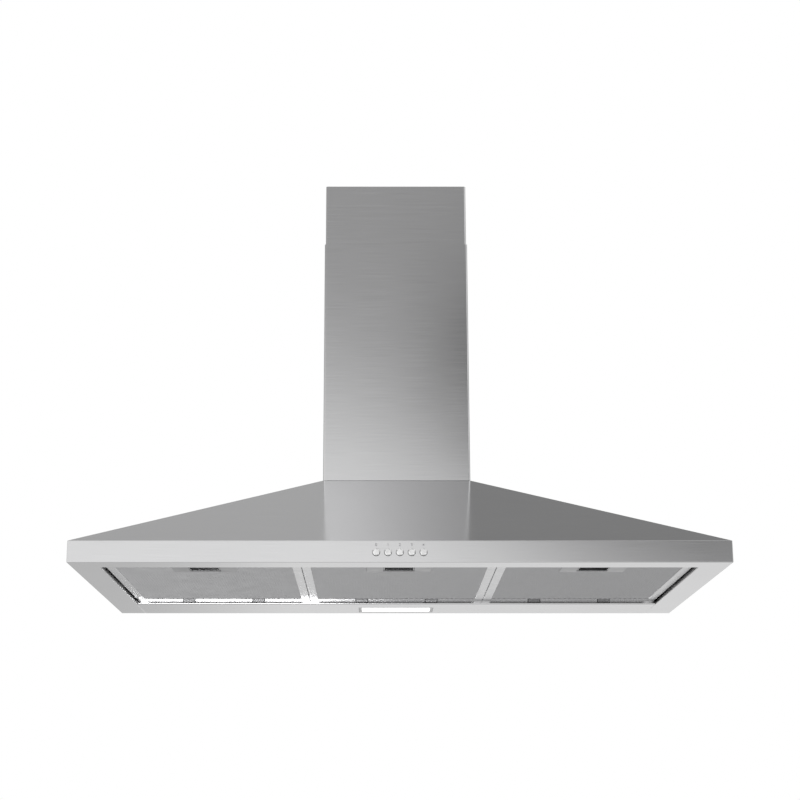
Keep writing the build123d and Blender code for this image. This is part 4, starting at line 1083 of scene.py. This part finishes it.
@dataclass
class Studio:
    """Pale floor, soft light and the camera."""

    grey_level: float = 0.41
    fill_level: float = 0.7
    darkest: float = 0.02
    cards: tuple[SoftCard, ...] = STUDIO_CARDS

    floor_z: float = -1.6
    floor_size: float = 60.0
    floor_near: float = 0.8
    floor_far: float = 4.0
    floor_paint: Colour = (0.88, 0.88, 0.88)
    floor_roughness: float = 0.8
    camera_at: Point = (-0.0326, -2.69126, -0.36938)
    camera_pitch: float = 13.83
    focal_px: float = 1643.4
    frame_px: float = 800.0
    sensor_mm: float = 36.0
    shift_x: float = 0.0303
    shift_y: float = 0.05

    def build(self) -> None:
        """Set the camera, the world, the lamps and the floor."""
        scene = bpy.context.scene
        scene.view_settings.view_transform = "Standard"
        self.camera()
        self.world()
        self.lamps()
        self.floor()

    def camera(self) -> None:
        """Place the camera below the hood, looking up at it.

        The photo's camera is level with a large upward shift. A tilt stands in for most of that
        shift here, because the other views keep the shift and would lose the hood.
        """
        data = bpy.data.cameras.new("camera")
        data.sensor_width = self.sensor_mm
        data.lens = self.focal_px / self.frame_px * data.sensor_width
        data.shift_x = self.shift_x
        data.shift_y = self.shift_y
        camera = bpy.data.objects.new("camera", data)
        camera.location = self.camera_at
        camera.rotation_euler = (math.radians(90.0 + self.camera_pitch), 0.0, 0.0)
        bpy.context.scene.collection.objects.link(camera)
        bpy.context.scene.camera = camera

    def world(self) -> None:
        """White to the camera, and a studio of soft boxes and grey cards for the metal."""
        world = bpy.data.worlds.new("studio")
        world.use_nodes = True
        bpy.context.scene.world = world
        nodes, links = world.node_tree.nodes, world.node_tree.links
        nodes.clear()
        coords = nodes.new("ShaderNodeTexCoord")

        def combine(
            operation: str, first: bpy.types.NodeSocket, second: bpy.types.NodeSocket
        ) -> bpy.types.NodeSocket:
            """Join two values with a maths node."""
            node = nodes.new("ShaderNodeMath")
            node.operation = operation
            links.new(first, node.inputs[0])
            links.new(second, node.inputs[1])
            return node.outputs[0]

        def fade(axis: Point, start: float, end: float) -> bpy.types.NodeSocket:
            """Rise smoothly from nought to one along a direction."""
            along = nodes.new("ShaderNodeVectorMath")
            along.operation = "DOT_PRODUCT"
            along.inputs[1].default_value = axis
            links.new(coords.outputs["Generated"], along.inputs[0])
            node = nodes.new("ShaderNodeMapRange")
            node.interpolation_type = "SMOOTHSTEP"
            node.inputs["From Min"].default_value = start
            node.inputs["From Max"].default_value = end
            links.new(along.outputs["Value"], node.inputs["Value"])
            return node.outputs["Result"]

        level = nodes.new("ShaderNodeValue").outputs[0]
        level.default_value = self.grey_level
        for card in self.cards:
            gain = nodes.new("ShaderNodeValue").outputs[0]
            gain.default_value = card.level
            for edge in card.edges:
                gain = combine("MULTIPLY", gain, fade(*edge))
            level = combine("ADD", level, gain)
        metal, white, fill = (nodes.new("ShaderNodeBackground") for _ in range(3))
        for background, strength in ((metal, 1.0), (white, 1.0), (fill, self.fill_level)):
            background.inputs["Color"].default_value = (1.0, 1.0, 1.0, 1.0)
            background.inputs["Strength"].default_value = strength
        lowest = nodes.new("ShaderNodeValue").outputs[0]
        lowest.default_value = self.darkest
        links.new(combine("MAXIMUM", level, lowest), metal.inputs["Strength"])
        path = nodes.new("ShaderNodeLightPath")
        lit = nodes.new("ShaderNodeMixShader")
        mirrored = combine(
            "MAXIMUM", path.outputs["Is Glossy Ray"], path.outputs["Is Transmission Ray"]
        )
        links.new(mirrored, lit.inputs[0])
        links.new(fill.outputs[0], lit.inputs[1])
        links.new(metal.outputs[0], lit.inputs[2])
        seen = nodes.new("ShaderNodeMixShader")
        links.new(path.outputs["Is Camera Ray"], seen.inputs[0])
        links.new(lit.outputs[0], seen.inputs[1])
        links.new(white.outputs[0], seen.inputs[2])
        output = nodes.new("ShaderNodeOutputWorld")
        links.new(seen.outputs[0], output.inputs["Surface"])

    def lamps(self) -> None:
        """Hang two soft lamps, one high at the left front and a weaker one at the right."""
        for lamp in (KEY_LAMP, FILL_LAMP):
            lamp.hang()

    def low_lamp(self, lit: Iterable[bpy.types.Object]) -> None:
        """Set a low lamp at the left that shines on the given pieces alone.

        Args:
            lit: The pieces that it lights.
        """
        lamp = LOW_LAMP.hang()
        receivers = bpy.data.collections.new("lit_by_low_lamp")
        for piece in lit:
            receivers.objects.link(piece)
        lamp.light_linking.receiver_collection = receivers

    def floor(self) -> None:
        """Lay the floor far below the hood."""
        bm = bmesh.new()
        bmesh.ops.create_grid(bm, x_segments=1, y_segments=1, size=self.floor_size / 2)
        bmesh.ops.translate(bm, vec=(0.0, 0.0, self.floor_z), verts=bm.verts)
        mesh = bpy.data.meshes.new("floor")
        bm.to_mesh(mesh)
        bm.free()
        floor = bpy.data.objects.new("floor", mesh)
        bpy.context.scene.collection.objects.link(floor)
        bench = NodeBench("floor_paint")
        paint = bench.principled(self.floor_paint, self.floor_roughness)
        glow = bench.add("ShaderNodeEmission")
        glow.inputs["Strength"].default_value = 1.0
        away = bench.add("ShaderNodeVectorMath", operation="LENGTH")
        bench.link(bench.place((1.0, 1.0, 0.0)), away.inputs[0])
        fade = bench.add("ShaderNodeMapRange", interpolation_type="SMOOTHSTEP")
        fade.inputs["From Min"].default_value = self.floor_near
        fade.inputs["From Max"].default_value = self.floor_far
        bench.link(away.outputs["Value"], fade.inputs["Value"])
        path = bench.add("ShaderNodeLightPath")
        seen = bench.add("ShaderNodeMath", operation="MULTIPLY")
        bench.link(fade.outputs["Result"], seen.inputs[0])
        bench.link(path.outputs["Is Camera Ray"], seen.inputs[1])
        blend = bench.add("ShaderNodeMixShader")
        bench.link(seen.outputs[0], blend.inputs[0])
        bench.link(paint.outputs[0], blend.inputs[1])
        bench.link(glow.outputs[0], blend.inputs[2])
        bench.link(blend.outputs[0], bench.output.inputs["Surface"])
        mesh.materials.append(bench.material)
        floor.visible_glossy = False


def near_low_lamp() -> list[bpy.types.Object]:
    """Give the rail and the pieces of the left and middle filters, which the low lamp lights."""
    names = ["rear_rail_shaped"]
    for side in SIDES[:2]:
        names += [f"filter_frame_{side}_shaped", f"latch_slider_{side}_shaped"]
        names += [f"expanded_sheet_{side}", f"filter_mesh_{side}"]
    return [bpy.data.objects[name] for name in names]


def main() -> None:
    """Build the hood's looks and the studio round it."""
    logging.basicConfig(level=logging.INFO, format="%(name)s: %(message)s")
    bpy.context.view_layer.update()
    studio = Studio()
    studio.build()
    Canopy().build()
    ChimneyCovers().build()
    for side in SIDES:
        FilterCassette(side).build()
    ControlStrip().build()
    LampUnit().build()
    Blower().build()
    Electrics().build()
    studio.low_lamp(near_low_lamp())


if __name__ == "__main__":
    main()
